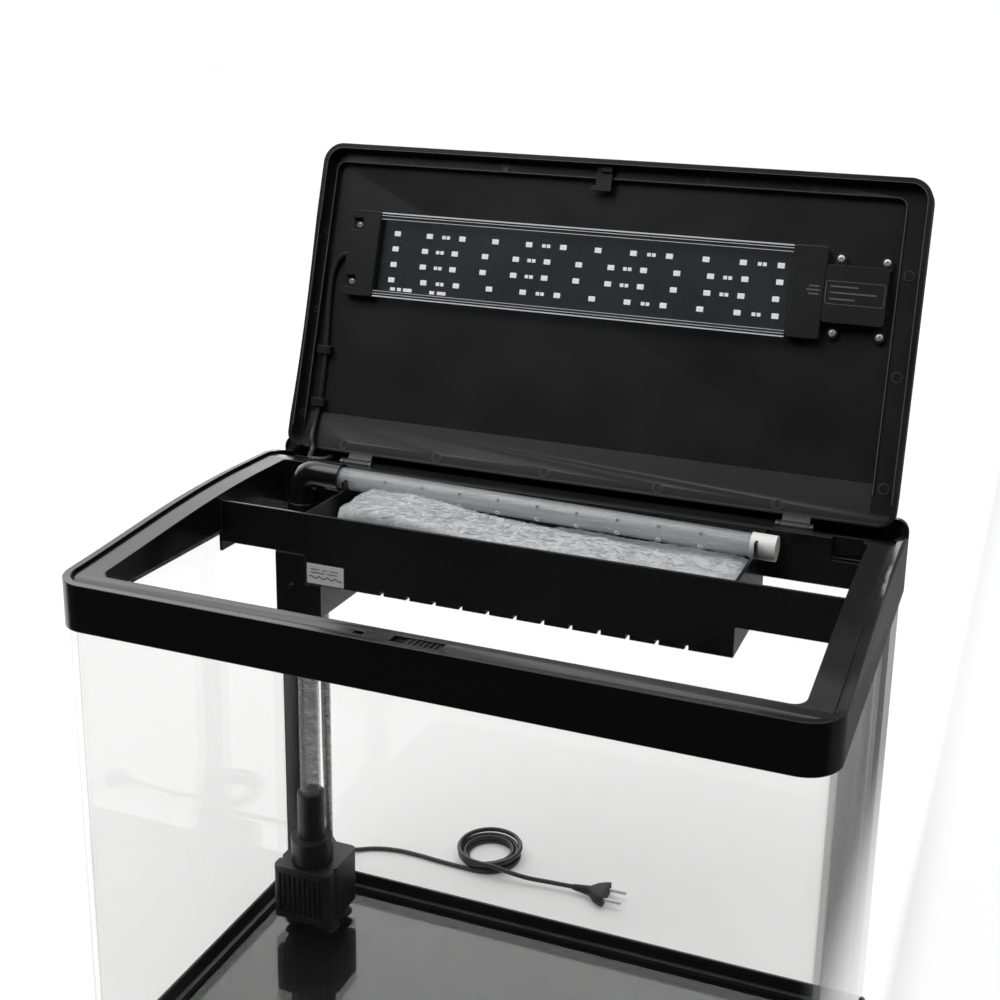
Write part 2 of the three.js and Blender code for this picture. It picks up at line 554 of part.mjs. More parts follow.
const pumpStrainer = () => {
  const z0 = PUMP_BOTTOM + 4;
  let cover = prism(roundedRect(PUMP.x0, PUMP.x1, PUMP.y0, PUMP.yWall - GAP, 5, 1), z0, PUMP_TOP)
    .subtract(box(PUMP.x0 + 2.5, PUMP.x1 - 2.5, PUMP.y0 + 2.5, PUMP.yWall, z0 + 2.5,
      PUMP_TOP - 2.5));
  for (let i = 0; i < 9; i += 1) {
    const x = PUMP.x0 + 7 + i * 5.6;
    cover = cover.subtract(box(x, x + 2.6, PUMP.y0 - 1, PUMP.y0 + 4, z0 + 7, PUMP_TOP - 7));
  }
  return cover;
};
add('pump_strainer', pumpStrainer(), SATIN_BLACK);

const impeller = () => {
  let wheel = rod('y', 8, PUMP.yWall + 9, PUMP.yWall + 28, RISER_X, ROTOR_Z, 20)
    .add(rod('y', 3, PUMP.yWall + 1, PUMP.yWall + 12, RISER_X, ROTOR_Z, 16));
  for (let i = 0; i < 3; i += 1) {
    const blades = new THREE.BoxGeometry(21, 8, 1.2).rotateY(i * Math.PI / 3);
    blades.translate(RISER_X, PUMP.yWall + 5.5, ROTOR_Z);
    wheel = wheel.add(solid(blades));
  }
  return wheel.subtract(rod('y', SHAFT_R + GAP, PUMP.yWall, PUMP.yWall + 40, RISER_X, ROTOR_Z, 12));
};
add('impeller', impeller(), CERAMIC);
add('impeller_shaft', rod('y', SHAFT_R, PUMP.yWall + 0.4, PUMP.yWall + ROTOR_DEPTH + 3.6,
  RISER_X, ROTOR_Z, 12), STEEL);
add('pump_gland', rod('y', 4.9, PUMP.y1 - 3.7, PUMP.y1 + 9, PUMP.x1 - 12, ROTOR_Z - 12, 16),
  RUBBER);

const suctionCup = (x, y) => {
  const z = FLOOR_TOP + GAP;
  const profile = [[0, 1.6], [6, 1.2], [10, 0], [11, 0], [8, 3], [4.2, 5.2], [4.2, 8],
    [6, 9], [6, PUMP_BOTTOM + 4 - GAP - z], [0, PUMP_BOTTOM + 4 - GAP - z]];
  const geometry = new THREE.LatheGeometry(profile.map(([r, h]) => new THREE.Vector2(r, h)), 16);
  return solid(geometry.rotateX(Math.PI / 2).translate(x, y, z));
};
const cupX = [PUMP.x0 + 12, PUMP.x1 - 12];
const cupY = [PUMP.yWall + 8, PUMP.y1 - 12];
cupX.forEach((x, i) => cupY.forEach((y, j) => {
  add(`suction_cup_${1 + i * 2 + j}`, suctionCup(x, y), RUBBER);
}));

// ---------- hood: local x right, y up the open hood, z out of its open side ----------
const hoodShape = (inset) => roundedRect(-LID_HALF + inset, LID_HALF - inset, inset,
  LID_LENGTH - inset, Math.max(14 - inset, 1), Math.max(20 - inset, 1));
const pivotS = -9.47;
const pivotN = 6.43;

// the frame's flat as seen by the closed hood, with a running clearance
const archCutter = () => {
  const travel = Math.PI / 2 + LEAN + CLOSED_SLOPE;
  const dy = LID_FOOT.y - PIVOT.y;
  const dz = LID_FOOT.z - PIVOT.z;
  const foot = new THREE.Vector2(dy, dz).rotateAround(new THREE.Vector2(), travel)
    .add(new THREE.Vector2(PIVOT.y, PIVOT.z));
  const points = [];
  for (let i = 0; i <= 20; i += 1) {
    const y = -172 + i * 16;
    const z = RIM_Z + crest(Math.min(y, 128)) - FLAT_DROP + 0.9;
    const local = new THREE.Vector2(y, z).sub(foot)
      .rotateAround(new THREE.Vector2(), -Math.PI - CLOSED_SLOPE);
    points.push([local.x, local.y]);
  }
  points.push([points[20][0], 20], [points[0][0], 20]);
  return prismX(polygon(points), -LID_HALF - 1, LID_HALF + 1);
};

const hingeArm = (centre) => {
  const arm = [[2, -0.2], [2, -9.5], [-8, -9], [pivotS - 4.8, pivotN - 1.4], [pivotS, pivotN],
    [-5.33, 3.62]];
  return prismX(polygon(arm), centre - KNUCKLE_HALF, centre + KNUCKLE_HALF)
    .add(rod('x', KNUCKLE_R, centre - KNUCKLE_HALF, centre + KNUCKLE_HALF, pivotS, pivotN, 24))
    .subtract(rod('x', PIN_R + GAP, centre - 20, centre + 20, pivotS, pivotN, 16));
};

// round moulding marks on the ledge, then those on the sloping foot
const MARKS = [[-200.5, 289], [-105, 289], [96, 289], [192, 289], [279.8, 217],
  [279.8, 129], [279.8, 33], [-286, 215], [-286, 136], [-286, 33]];
const FOOT_MARKS = [-236, -137.5, -27.5, 81.5, 190.8];
const FOOT_SLOPE = 0.17;

const mark = (x, s, n, radius, slope) => solid(new THREE.CylinderGeometry(radius, radius, 2, 16)
  .rotateX(Math.PI / 2 - slope).translate(x, s, n - 0.6));

const hoodCavity = () => {
  const inner = prism(hoodShape(LID_WALL), FLOOR_N, 1).add(prism(roundedRect(
    -LID_HALF + LID_WALL, LID_HALF - LID_WALL, LID_FOOT_WALL, 40, 12, 1), FLOOR_N, 1));
  const ledge = prism(hoodShape(0), FLOOR_N - 1, LEDGE_N)
    .subtract(prism(roundedRect(PANEL.left, PANEL.right, -20, PANEL.top, 1, 8), -30, 2));
  const backRest = [[0, -20], [36, -20], [36, FLOOR_N], [6, -10.2], [0, -9.3]];
  return inner.subtract(ledge).subtract(prismX(polygon(backRest), -LID_HALF, LID_HALF));
};

// thin raised bead around the sunk panel, open at the foot
const panelBead = () => {
  const width = 1.6;
  const edge = (grow, n0, n1) => prism(roundedRect(PANEL.left - grow, PANEL.right + grow,
    26 - 2 * width + grow, PANEL.top + grow, 1, 8 + grow), n0, n1);
  return edge(width, LEDGE_N - 1, LEDGE_N + 1.2)
    .subtract(edge(0, LEDGE_N - 2, LEDGE_N + 2))
    .subtract(box(-LID_HALF, LID_HALF, 0, 26, LEDGE_N - 2, LEDGE_N + 2));
};

const hoodShell = () => {
  let shell = prism(hoodShape(0), -LID_DEPTH, 0);
  const chamfer = [[-1, -LID_DEPTH - 1], [30, -LID_DEPTH - 1], [30, -LID_DEPTH], [0, -12.5],
    [-1, -12.3]];
  shell = shell.subtract(prismX(polygon(chamfer), -LID_HALF - 1, LID_HALF + 1));
  shell = shell.subtract(hoodCavity()).add(panelBead());
  for (const [x, s] of MARKS) {
    shell = shell.add(mark(x, s, LEDGE_N, x < PANEL.left ? 2.9 : 4.6, 0));
  }
  for (const x of FOOT_MARKS) {
    shell = shell.add(mark(x, 7.4, -10.4, 4.6, FOOT_SLOPE));
  }
  shell = shell.subtract(archCutter());
  shell = shell.add(hingeArm(-HINGE_X)).add(hingeArm(HINGE_X));
  return shell.subtract(box(-279, -255, -1, LID_FOOT_WALL + 6, -8.2, 1));
};
addHood('hood_shell', hoodShell(), SATIN_BLACK);
for (const [side, name] of [[-1, 'hinge_pin_left'], [1, 'hinge_pin_right']]) {
  const half = KNUCKLE_HALF + LUG - 0.5;
  const centre = side * HINGE_X;
  addHood(name, rod('x', PIN_R, centre - half, centre + half, pivotS, pivotN, 16), STEEL);
}

// flat tongue that the front catch holds, on a foot that stands on the ledge
const catchTab = () => {
  const low = LEDGE_N + 1.8;
  return box(-12.5, 3, 271.5, 294.5, low, low + 2)
    .add(box(-16.5, -12, 271.5, 276, low, low + 2))
    .add(box(-12.5, 3, 286, 294.5, LEDGE_N + GAP, low + 1))
    .add(box(-8, 3, 289, 294.5, low + 1, low + 4.5));
};
addHood('hood_catch_tab', catchTab(), SATIN_BLACK);

// lamp
const LAMP = { s0: 153.4, s1: 236.4, n0: FLOOR_N + GAP };
const lampScrews = [[-250.6, 223], [-251.4, 166.8], [220.2, 227.4], [260.2, 226.8],
  [220.2, 161.8], [260.8, 161.7]];
const screwHoles = (shape) => lampScrews.reduce(
  (result, [x, s]) => result.subtract(rod('z', 1.8, LAMP.n0 - 1, 2, x, s, 12)), shape);

const lampCapLeft = () => {
  let cap = prism(roundedRect(-258.3, -226.4, LAMP.s0, LAMP.s1, 3), LAMP.n0, -5.5);
  for (const [x, s] of lampScrews.slice(0, 2)) {
    cap = cap.subtract(box(-259, x + 6, s - 6, s + 6, -12, -5));
  }
  return screwHoles(cap).subtract(rod('x', CORD_R + 0.7, -259, -247, 194, LAMP.n0 + 3.7, 16));
};
addHood('lamp_cap_left', lampCapLeft(), GLOSS_BLACK);
addHood('lamp_cap_right', prism(roundedRect(179.7, 209.4, LAMP.s0 + 1, LAMP.s1, 3),
  LAMP.n0, -5.5), GLOSS_BLACK);

const lampDriver = () => {
  let housing = prism(roundedRect(209.8, 264, 170.2, 220.8, 3), LAMP.n0, -4.5);
  for (const [x, s] of lampScrews.slice(2)) {
    const edge = s > 200 ? [219, s] : [s, 172];
    housing = housing.add(box(x - 5, x + 5, edge[0], edge[1], LAMP.n0, LAMP.n0 + 3.5))
      .add(rod('z', 5, LAMP.n0, LAMP.n0 + 3.5, x, s, 16));
  }
  return screwHoles(housing);
};
addHood('lamp_driver', lampDriver(), GLOSS_BLACK);
addHood('lamp_board', box(-224.8, 178.6, LAMP.s0 + 4, LAMP.s1 - 4, LAMP.n0, LAMP.n0 + 1.6), BOARD);
addHood('lamp_cover', prism(roundedRect(-226.1, 179.4, LAMP.s0, LAMP.s1, 2), LAMP.n0, -6.5)
  .subtract(box(-225.2, 179, LAMP.s0 + 1.6, LAMP.s1 - 1.6, LAMP.n0 - 1, -8)), CLEAR_PLASTIC);

const screw = (x, s, seat) => rod('z', 3.4, seat + GAP, seat + 2.1, x, s, 16)
  .add(rod('z', 1.4, LAMP.n0 + 0.5, seat + 1, x, s, 10));
lampScrews.forEach(([x, s], i) => {
  const seat = i < 2 ? -12 : LAMP.n0 + 3.5;
  addHood(`lamp_screw_${i + 1}`, screw(x, s, seat), STEEL);
});

// ---------- lamp lead ----------
const LEAD_N = FLOOR_N + CORD_R + 0.5;
const HOOD_ROUTE = [[-248, 194, LAMP.n0 + 3.7], [-260, 193.7, LAMP.n0 + 3.7], [-269, 188, LEAD_N],
  [-274.2, 174, LEAD_N], [-274.8, 152, LEAD_N], [-271.6, 102, LEAD_N], [-270.4, 70, LEAD_N],
  [-270.8, 42, LEAD_N], [-271, 22, -9.2], [-269.5, 8, -5], [-266.5, 0, -3.6],
  [-264.5, -6, 1.5], [-261, pivotS, pivotN], [-255, pivotS, pivotN]];
addHood('lamp_lead_hood', solid(sweep(HOOD_ROUTE, CORD_R, 0, 8, 46)), RUBBER);

const leadClip = (s, x) => box(x - 7, x + 7, s - 4, s + 4, FLOOR_N + GAP, LEAD_N + CORD_R + 1.6)
  .subtract(rod('y', CORD_R + 0.45, s - 6, s + 6, x, LEAD_N, 16))
  .subtract(box(x - CORD_R - 0.45, x + CORD_R + 0.45, s - 6, s + 6, FLOOR_N, LEAD_N));
addHood('lead_clip_upper', leadClip(97, -271.45), SATIN_BLACK);
addHood('lead_clip_lower', leadClip(45, -270.75), SATIN_BLACK);

const ROOT_ROUTE = [[-254.7, PIVOT.y, PIVOT.z], [-252, PIVOT.y + 0.2, PIVOT.z],
  [-248.4, PIVOT.y + 3, PIVOT.z], [-246.4, PIVOT.y + 8, PIVOT.z],
  [CORD_EXIT.x, PIVOT.y + 14, PIVOT.z], [CORD_EXIT.x, 166, PIVOT.z],
  [CORD_EXIT.x, HALF_D + 3, PIVOT.z]];
add('lamp_lead_root', solid(sweep(ROOT_ROUTE, CORD_R, 0, 10, 20)), RUBBER);
add('lead_grommet', rod('y', 4.7, REAR_WALL_FRONT + 0.2, HALF_D, CORD_EXIT.x, CORD_EXIT.z, 16)
  .add(rod('y', 6.4, HALF_D + GAP, HALF_D + 2.4, CORD_EXIT.x, CORD_EXIT.z, 16))
  .add(rod('y', 4.7, HALF_D - 1, HALF_D + 1, CORD_EXIT.x, CORD_EXIT.z, 16))
  .subtract(rod('y', CORD_R + GAP, 160, HALF_D + 5, CORD_EXIT.x, CORD_EXIT.z, 16)), RUBBER);

const COIL = { x: -130, y: 292, radius: 29, low: 0.2, high: 15.7, half: 7.7 };
const LEAD_ROUTE = [[CORD_EXIT.x, HALF_D + 3.3, CORD_EXIT.z],
  [CORD_EXIT.x, HALF_D + 8, CORD_EXIT.z], [-248.4, 192, 491.3], [-256, 203, 487],
  [-270, 210, 478], [-284, 212.5, 463], [-291, 213, 444], [-292, 212, 400], [-291.5, 211, 300],
  [-291, 210, 200], [-290.5, 211, 100], [-290, 213, 55], [-288, 219, 26], [-282, 231, 9],
  [-271, 244, 3], [-256, 253, 2.6], [-232, 259.5, 2.6], [-205, 260.5, 2.6], [-178, 258.8, 2.6],
  [-150, 257.8, 2.6]];
add('lamp_lead', solid(sweep(LEAD_ROUTE, CORD_R, 0, 8, 46)), RUBBER);

const coil = () => {
  const inner = COIL.radius - COIL.half;
  const outer = COIL.radius + COIL.half;
  const profile = [[inner, COIL.low], [outer, COIL.low], [outer, COIL.high], [inner, COIL.high],
    [inner, COIL.low]];
  const geometry = new THREE.LatheGeometry(profile.map(([r, h]) => new THREE.Vector2(r, h)), 28);
  return solid(geometry.rotateX(Math.PI / 2).translate(COIL.x, COIL.y, 0));
};
add('lamp_lead_coil', coil(), RUBBER);
const PLUG = { x: -20, y: 264 };
const TAIL_ROUTE = [[-110.5, 257.8, 12.6], [-95, 257.9, 10.4], [-72, 259.5, 7.6], [-48, 262, 7],
  [PLUG.x - 0.5, PLUG.y, 7]];
add('lamp_lead_tail', solid(sweep(TAIL_ROUTE, CORD_R, 0, 8, 12)), RUBBER);

const plug = () => {
  const half = [[0, 5], [20, 12], [34, 17.5], [38, 17.5]];
  const near = half.map(([x, y]) => [PLUG.x + x, PLUG.y - y]);
  const far = half.map(([x, y]) => [PLUG.x + x, PLUG.y + y]).reverse();
  const pin = (y) => rod('x', 2, PLUG.x + 37, PLUG.x + 57, y, 7, 12);
  return prism(polygon([...near, ...far]), 0.2, 13.8)
    .add(pin(PLUG.y - 9.5))
    .add(pin(PLUG.y + 9.5));
};
add('lamp_plug', plug(), RUBBER);

export default model;
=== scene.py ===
import json
import math
import random

import bmesh
import bpy
from mathutils import Euler, Matrix, Vector, noise
from mathutils.bvhtree import BVHTree


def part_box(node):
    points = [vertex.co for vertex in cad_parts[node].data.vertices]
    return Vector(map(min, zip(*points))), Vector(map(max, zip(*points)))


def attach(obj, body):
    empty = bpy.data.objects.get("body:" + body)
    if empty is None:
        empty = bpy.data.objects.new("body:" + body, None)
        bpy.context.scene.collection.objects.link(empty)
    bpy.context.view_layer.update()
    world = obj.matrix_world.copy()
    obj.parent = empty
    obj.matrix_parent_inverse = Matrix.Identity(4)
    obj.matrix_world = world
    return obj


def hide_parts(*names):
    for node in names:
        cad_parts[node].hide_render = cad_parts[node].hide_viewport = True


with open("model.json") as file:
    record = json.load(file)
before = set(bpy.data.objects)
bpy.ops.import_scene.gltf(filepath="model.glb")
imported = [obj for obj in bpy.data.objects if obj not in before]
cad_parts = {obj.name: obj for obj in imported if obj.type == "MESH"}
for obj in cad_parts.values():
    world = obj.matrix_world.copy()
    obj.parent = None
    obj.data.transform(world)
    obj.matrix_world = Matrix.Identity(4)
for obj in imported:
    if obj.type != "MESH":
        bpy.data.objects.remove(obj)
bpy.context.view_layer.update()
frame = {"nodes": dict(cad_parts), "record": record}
NODES = frame["nodes"]

# lengths below are in millimetres unless a name or comment says otherwise
MM = 0.001
RIM_Z = 440             # height of the glass's upper edge, the zero level of the top parts

# ---------------------------------------------------------------- camera

LENS, SENSOR = 49.6, 36
VIEW_SHIFT = (-0.0867, -0.1065)
CAMERA_PLACE = (0.40367, -0.97185, 0.89398)     # metres
CAMERA_TURN = (75.5233, -1.7552, 19.4868)       # degrees


def make_camera():
    data = bpy.data.cameras.new("camera")
    data.sensor_width = SENSOR
    data.lens = LENS
    data.shift_x, data.shift_y = VIEW_SHIFT
    data.clip_start = 0.05
    camera = bpy.data.objects.new("camera", data)
    camera.location = CAMERA_PLACE
    camera.rotation_euler = Euler([math.radians(a) for a in CAMERA_TURN])
    bpy.context.scene.collection.objects.link(camera)
    bpy.context.scene.camera = camera


make_camera()


def link_mesh(name, bm, smooth=True, auto_angle=None):
    """Turn a bmesh into an object; edges sharper than auto_angle degrees stay crisp."""
    mesh = bpy.data.meshes.new(name)
    bm.to_mesh(mesh)
    bm.free()
    for polygon in mesh.polygons:
        polygon.use_smooth = smooth
    if auto_angle is not None:
        mesh.set_sharp_from_angle(angle=math.radians(auto_angle))
    obj = bpy.data.objects.new(name, mesh)
    bpy.context.scene.collection.objects.link(obj)
    return obj


# ---------------------------------------------------------------- node materials


def new_material(name):
    material = bpy.data.materials.new(name)
    material.use_nodes = True
    tree = material.node_tree
    return material, tree, tree.nodes["Principled BSDF"], tree.nodes["Material Output"]


def add_node(tree, kind, **values):
    node = tree.nodes.new(kind)
    for key, value in values.items():
        if key in node.inputs:
            node.inputs[key].default_value = value
        else:
            setattr(node, key, value)
    return node


def object_coords(tree):
    return add_node(tree, "ShaderNodeTexCoord").outputs["Object"]


def noise_at(tree, scale, detail=3.0, rough=0.5):
    node = add_node(tree, "ShaderNodeTexNoise")
    node.inputs["Scale"].default_value = scale
    node.inputs["Detail"].default_value = detail
    node.inputs["Roughness"].default_value = rough
    tree.links.new(object_coords(tree), node.inputs["Vector"])
    return node.outputs["Fac"]


def remap(tree, source, low, high, to_low, to_high):
    """A straight ramp from one range to another, held at its ends."""
    node = add_node(tree, "ShaderNodeMapRange")
    for key, value in zip(("From Min", "From Max", "To Min", "To Max"),
                          (low, high, to_low, to_high)):
        node.inputs[key].default_value = value
    tree.links.new(source, node.inputs["Value"])
    return node.outputs["Result"]


def mix_colour(tree, factor, colour_a, colour_b):
    """colour_a where the factor is 0, colour_b where it is 1."""
    node = add_node(tree, "ShaderNodeMix", data_type="RGBA")
    node.inputs[6].default_value = (*colour_a, 1)
    node.inputs[7].default_value = (*colour_b, 1)
    tree.links.new(factor, node.inputs[0])
    return node.outputs[2]


def add_bump(tree, shader, height, strength, distance, bevel=0.0):
    """Surface relief from a height, over edges rounded by a bevel in metres."""
    bump = add_node(tree, "ShaderNodeBump")
    bump.inputs["Strength"].default_value = strength
    bump.inputs["Distance"].default_value = distance
    tree.links.new(height, bump.inputs["Height"])
    if bevel:
        edge = add_node(tree, "ShaderNodeBevel", samples=4)
        edge.inputs["Radius"].default_value = bevel
        tree.links.new(edge.outputs["Normal"], bump.inputs["Normal"])
    tree.links.new(bump.outputs["Normal"], shader.inputs["Normal"])


def moulded(name, colour, rough, spread, grain, grain_scale, bevel=0.0005, dust=0.02):
    """Injection-moulded plastic or rubber: grain in the surface, cloudy gloss, a little dust."""
    material, tree, shader, _ = new_material(name)
    cloud = noise_at(tree, 14, 4)
    dusty = tuple(min(c + dust, 1) for c in colour)
    specks = remap(tree, noise_at(tree, 900, 2, 0.7), 0.62, 0.8, 0, 1)
    tree.links.new(mix_colour(tree, specks, colour, dusty), shader.inputs["Base Color"])
    tree.links.new(remap(tree, cloud, 0.3, 0.7, rough - spread, rough + spread),
                   shader.inputs["Roughness"])
    add_bump(tree, shader, noise_at(tree, grain_scale, 2), grain, 0.0003, bevel)
    return material


PANE_IOR = 1.46
MOULDED_IOR = 1.49
# painted shade: panes darken where they are seen edge-on, standing in for the dark bands that
# refraction gives bent glass
EDGE_ON_SHADE = 0.55    # what is left of a pane's tint where it is seen edge-on


def clear_wall(name, tint, smudge=0.04):
    """A flat clear pane: see-through, mirror-like at grazing angles, faint smears, and a painted
    shade where it is seen edge-on.
    """
    material, tree, shader, output = new_material(name)
    tree.nodes.remove(shader)
    see = add_node(tree, "ShaderNodeBsdfTransparent")
    edge_on = add_node(tree, "ShaderNodeLayerWeight")
    edge_on.inputs["Blend"].default_value = 0.5
    # painted shade: the see-through colour darkens towards edge-on views
    edge_on_shade = remap(tree, edge_on.outputs["Facing"], 0.7, 0.98, 0, 1)
    tree.links.new(mix_colour(tree, edge_on_shade, tint, tuple(c * EDGE_ON_SHADE for c in tint)),
                   see.inputs["Color"])
    gloss = add_node(tree, "ShaderNodeBsdfGlossy")
    gloss.inputs["Color"].default_value = (1, 1, 1, 1)
    tree.links.new(remap(tree, noise_at(tree, 9, 5, 0.6), 0.35, 0.75, 0.0, smudge),
                   gloss.inputs["Roughness"])
    fresnel = add_node(tree, "ShaderNodeFresnel")
    back = add_node(tree, "ShaderNodeNewGeometry").outputs["Backfacing"]
    tree.links.new(remap(tree, back, 0, 1, PANE_IOR, 1 / PANE_IOR), fresnel.inputs["IOR"])
    mix = add_node(tree, "ShaderNodeMixShader")
    tree.links.new(fresnel.outputs[0], mix.inputs[0])
    tree.links.new(see.outputs[0], mix.inputs[1])
    tree.links.new(gloss.outputs[0], mix.inputs[2])
    tree.links.new(mix.outputs[0], output.inputs["Surface"])
    return material


def clear_moulding(name, colour, rough, haze):
    """Moulded clear plastic: real refraction with faint haze and flow marks."""
    material, tree, shader, _ = new_material(name)
    shader.inputs["Transmission Weight"].default_value = 1.0
    shader.inputs["IOR"].default_value = MOULDED_IOR
    tree.links.new(mix_colour(tree, noise_at(tree, 40, 3), colour,
                              tuple(c * 0.94 for c in colour)), shader.inputs["Base Color"])
    tree.links.new(remap(tree, noise_at(tree, 120, 4), 0.35, 0.7, rough, rough + haze),
                   shader.inputs["Roughness"])
    add_bump(tree, shader, noise_at(tree, 220, 2), 0.15, 0.0002)
    return material


def milky(name, colour, cover, rough):
    """Clear plastic gone cloudy: part see-through, part scattering, with long flow streaks."""
    material, tree, shader, _ = new_material(name)
    shader.inputs["Roughness"].default_value = rough
    stretch = add_node(tree, "ShaderNodeMapping")
    stretch.inputs["Scale"].default_value = (0.06, 1, 1)
    tree.links.new(object_coords(tree), stretch.inputs["Vector"])
    streak = add_node(tree, "ShaderNodeTexNoise")
    streak.inputs["Scale"].default_value = 260
    streak.inputs["Detail"].default_value = 3
    tree.links.new(stretch.outputs[0], streak.inputs["Vector"])
    tree.links.new(mix_colour(tree, streak.outputs["Fac"], colour,
                              tuple(c * 0.8 for c in colour)), shader.inputs["Base Color"])
    tree.links.new(remap(tree, streak.outputs["Fac"], 0.3, 0.7, cover - 0.1, cover + 0.1),
                   shader.inputs["Alpha"])
    add_bump(tree, shader, noise_at(tree, 220, 2), 0.1, 0.0002)
    return material


def steel(name):
    material, tree, shader, _ = new_material(name)
    shader.inputs["Metallic"].default_value = 0.45
    tree.links.new(mix_colour(tree, noise_at(tree, 300, 3), (0.82, 0.82, 0.83),
                              (0.68, 0.68, 0.69)), shader.inputs["Base Color"])
    tree.links.new(remap(tree, noise_at(tree, 500, 2), 0.3, 0.7, 0.22, 0.4),
                   shader.inputs["Roughness"])
    add_bump(tree, shader, noise_at(tree, 1500, 2), 0.1, 0.0001)
    return material


def floss(name):
    material, tree, shader, _ = new_material(name)
    shader.inputs["Roughness"].default_value = 0.95
    shader.inputs["Subsurface Weight"].default_value = 0.15
    shader.inputs["Subsurface Radius"].default_value = (0.006, 0.006, 0.006)
    shader.inputs["Sheen Weight"].default_value = 0.4
    fibre = noise_at(tree, 300, 8, 0.8)
    tree.links.new(mix_colour(tree, remap(tree, fibre, 0.3, 0.7, 0, 1), (0.5, 0.51, 0.53),
                              (0.88, 0.89, 0.9)), shader.inputs["Base Color"])
    add_bump(tree, shader, fibre, 1.0, 0.003)
    return material


def phosphor(name):
    material, tree, shader, _ = new_material(name)
    tree.links.new(mix_colour(tree, noise_at(tree, 700, 2), (0.9, 0.88, 0.74),
                              (0.95, 0.94, 0.84)), shader.inputs["Base Color"])
    shader.inputs["Roughness"].default_value = 0.35
    return material


GLOSS = moulded("gloss_black", (0.0075, 0.0075, 0.008), 0.2, 0.05, 0.06, 500, 0.0012, 0.01)
SATIN = moulded("satin_black", (0.0085, 0.0085, 0.009), 0.42, 0.06, 0.25, 1500, 0.0006, 0.012)
LAMP_BLACK = moulded("lamp_black", (0.027, 0.027, 0.028), 0.26, 0.05, 0.08, 900, 0.0006)
SILICONE = moulded("silicone", (0.01, 0.01, 0.011), 0.35, 0.08, 0.5, 160, 0.0)
RUBBER = moulded("rubber", (0.014, 0.014, 0.014), 0.62, 0.08, 0.4, 1800, 0.0004)
JACKET = moulded("lead_jacket", (0.03, 0.03, 0.031), 0.32, 0.06, 0.25, 1200, 0.0)
WHITE = moulded("white_plastic", (0.78, 0.78, 0.77), 0.33, 0.05, 0.06, 700, 0.0006, -0.05)
LABEL = moulded("label_film", (0.82, 0.82, 0.82), 0.3, 0.05, 0.03, 300, 0.0, -0.04)
INK = moulded("label_ink", (0.16, 0.17, 0.19), 0.4, 0.05, 0.03, 300, 0.0)
CERAMIC = moulded("magnet", (0.02, 0.02, 0.02), 0.4, 0.06, 0.3, 900, 0.0004)
BOARD = moulded("led_board", (0.06, 0.06, 0.061), 0.3, 0.06, 0.2, 1100, 0.0, 0.05)
PRINT = moulded("pale_print", (0.16, 0.16, 0.165), 0.35, 0.05, 0.03, 300, 0.0, 0.0)
CHIP_PAINTED_GLOW = moulded("chip_package", (0.92, 0.92, 0.91), 0.3, 0.05, 0.05, 1500, 0.0, -0.05)
GLASS = clear_wall("glass", (0.962, 0.963, 0.961))
CLEAR = clear_moulding("clear_plastic", (0.95, 0.96, 0.965), 0.04, 0.08)
COVER = clear_wall("lamp_cover_clear", (0.93, 0.94, 0.95), 0.12)
GREY_TUBE = milky("grey_clear_tube", (0.5, 0.5, 0.51), 0.42, 0.1)
MILKY = milky("milky_plastic", (0.74, 0.75, 0.77), 0.28, 0.12)
# painted highlight: pale grey lines where light catches the hood's bead, rim edge and round marks
EDGE_HIGHLIGHT_LINE = moulded("painted_edge_highlight", (0.13, 0.13, 0.132), 0.3, 0.05, 0.05, 900, 0.0)
# painted highlight: white strips where light catches the lamp cover's edges; the same white also
# makes the spray bar's nozzle rims
RAIL_HIGHLIGHT_AND_NOZZLE_WHITE = moulded("cover_rail_highlight", (0.85, 0.85, 0.86), 0.2, 0.05, 0.05, 900, 0.0)
STEEL = steel("steel")
FLOSS = floss("filter_floss")
PHOSPHOR_PAINTED_GLOW = phosphor("phosphor")

# painted glow: the chips' white faces, their phosphor and the board's resistors and pads give off
# a faint white light though the lamp is off, so they stay white on the dark board
for painted_glow in (CHIP_PAINTED_GLOW, PHOSPHOR_PAINTED_GLOW):
    glow_shader = painted_glow.node_tree.nodes["Principled BSDF"]
    glow_shader.inputs["Emission Color"].default_value = (1, 1, 0.98, 1)
    glow_shader.inputs["Emission Strength"].default_value = 0.45

SLOT_MATERIAL = {
    "gloss_black": GLOSS, "satin_black": SATIN, "glass": GLASS, "clear_plastic": CLEAR,
    "clear_tube": GREY_TUBE, "silicone": SILICONE, "rubber": RUBBER, "lead_jacket": JACKET,
    "white_plastic": WHITE, "label_film": LABEL, "filter_floss": FLOSS, "magnet": CERAMIC,
    "steel": STEEL, "led_board": BOARD}
# nodes whose finish differs from the rest of their slot
OWN_MATERIAL = {
    "lamp_cap_left": LAMP_BLACK, "lamp_cap_right": LAMP_BLACK, "lamp_driver": LAMP_BLACK,
    "lamp_cover": COVER, "spray_bar": MILKY, "riser_pipe": GREY_TUBE}
SLOTS = {part["node"]: part["material_slot"] for part in frame["record"]["subparts"]}
BODY = {node: body for body, nodes in frame["record"]["behaviour"]["bodies"].items()
        for node in nodes}


def finish_piece(obj, node_or_body, material, replaced=()):
    """Give a piece its material, the body it moves with and the nodes it replaces."""
    obj.data.materials.clear()
    obj.data.materials.append(material)
    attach(obj, BODY.get(node_or_body, node_or_body))
    if replaced:
        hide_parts(*replaced)
    return obj


# ---------------------------------------------------------------- lead and its plug


def to_m(points):
    return [Vector(p) * MM for p in points]


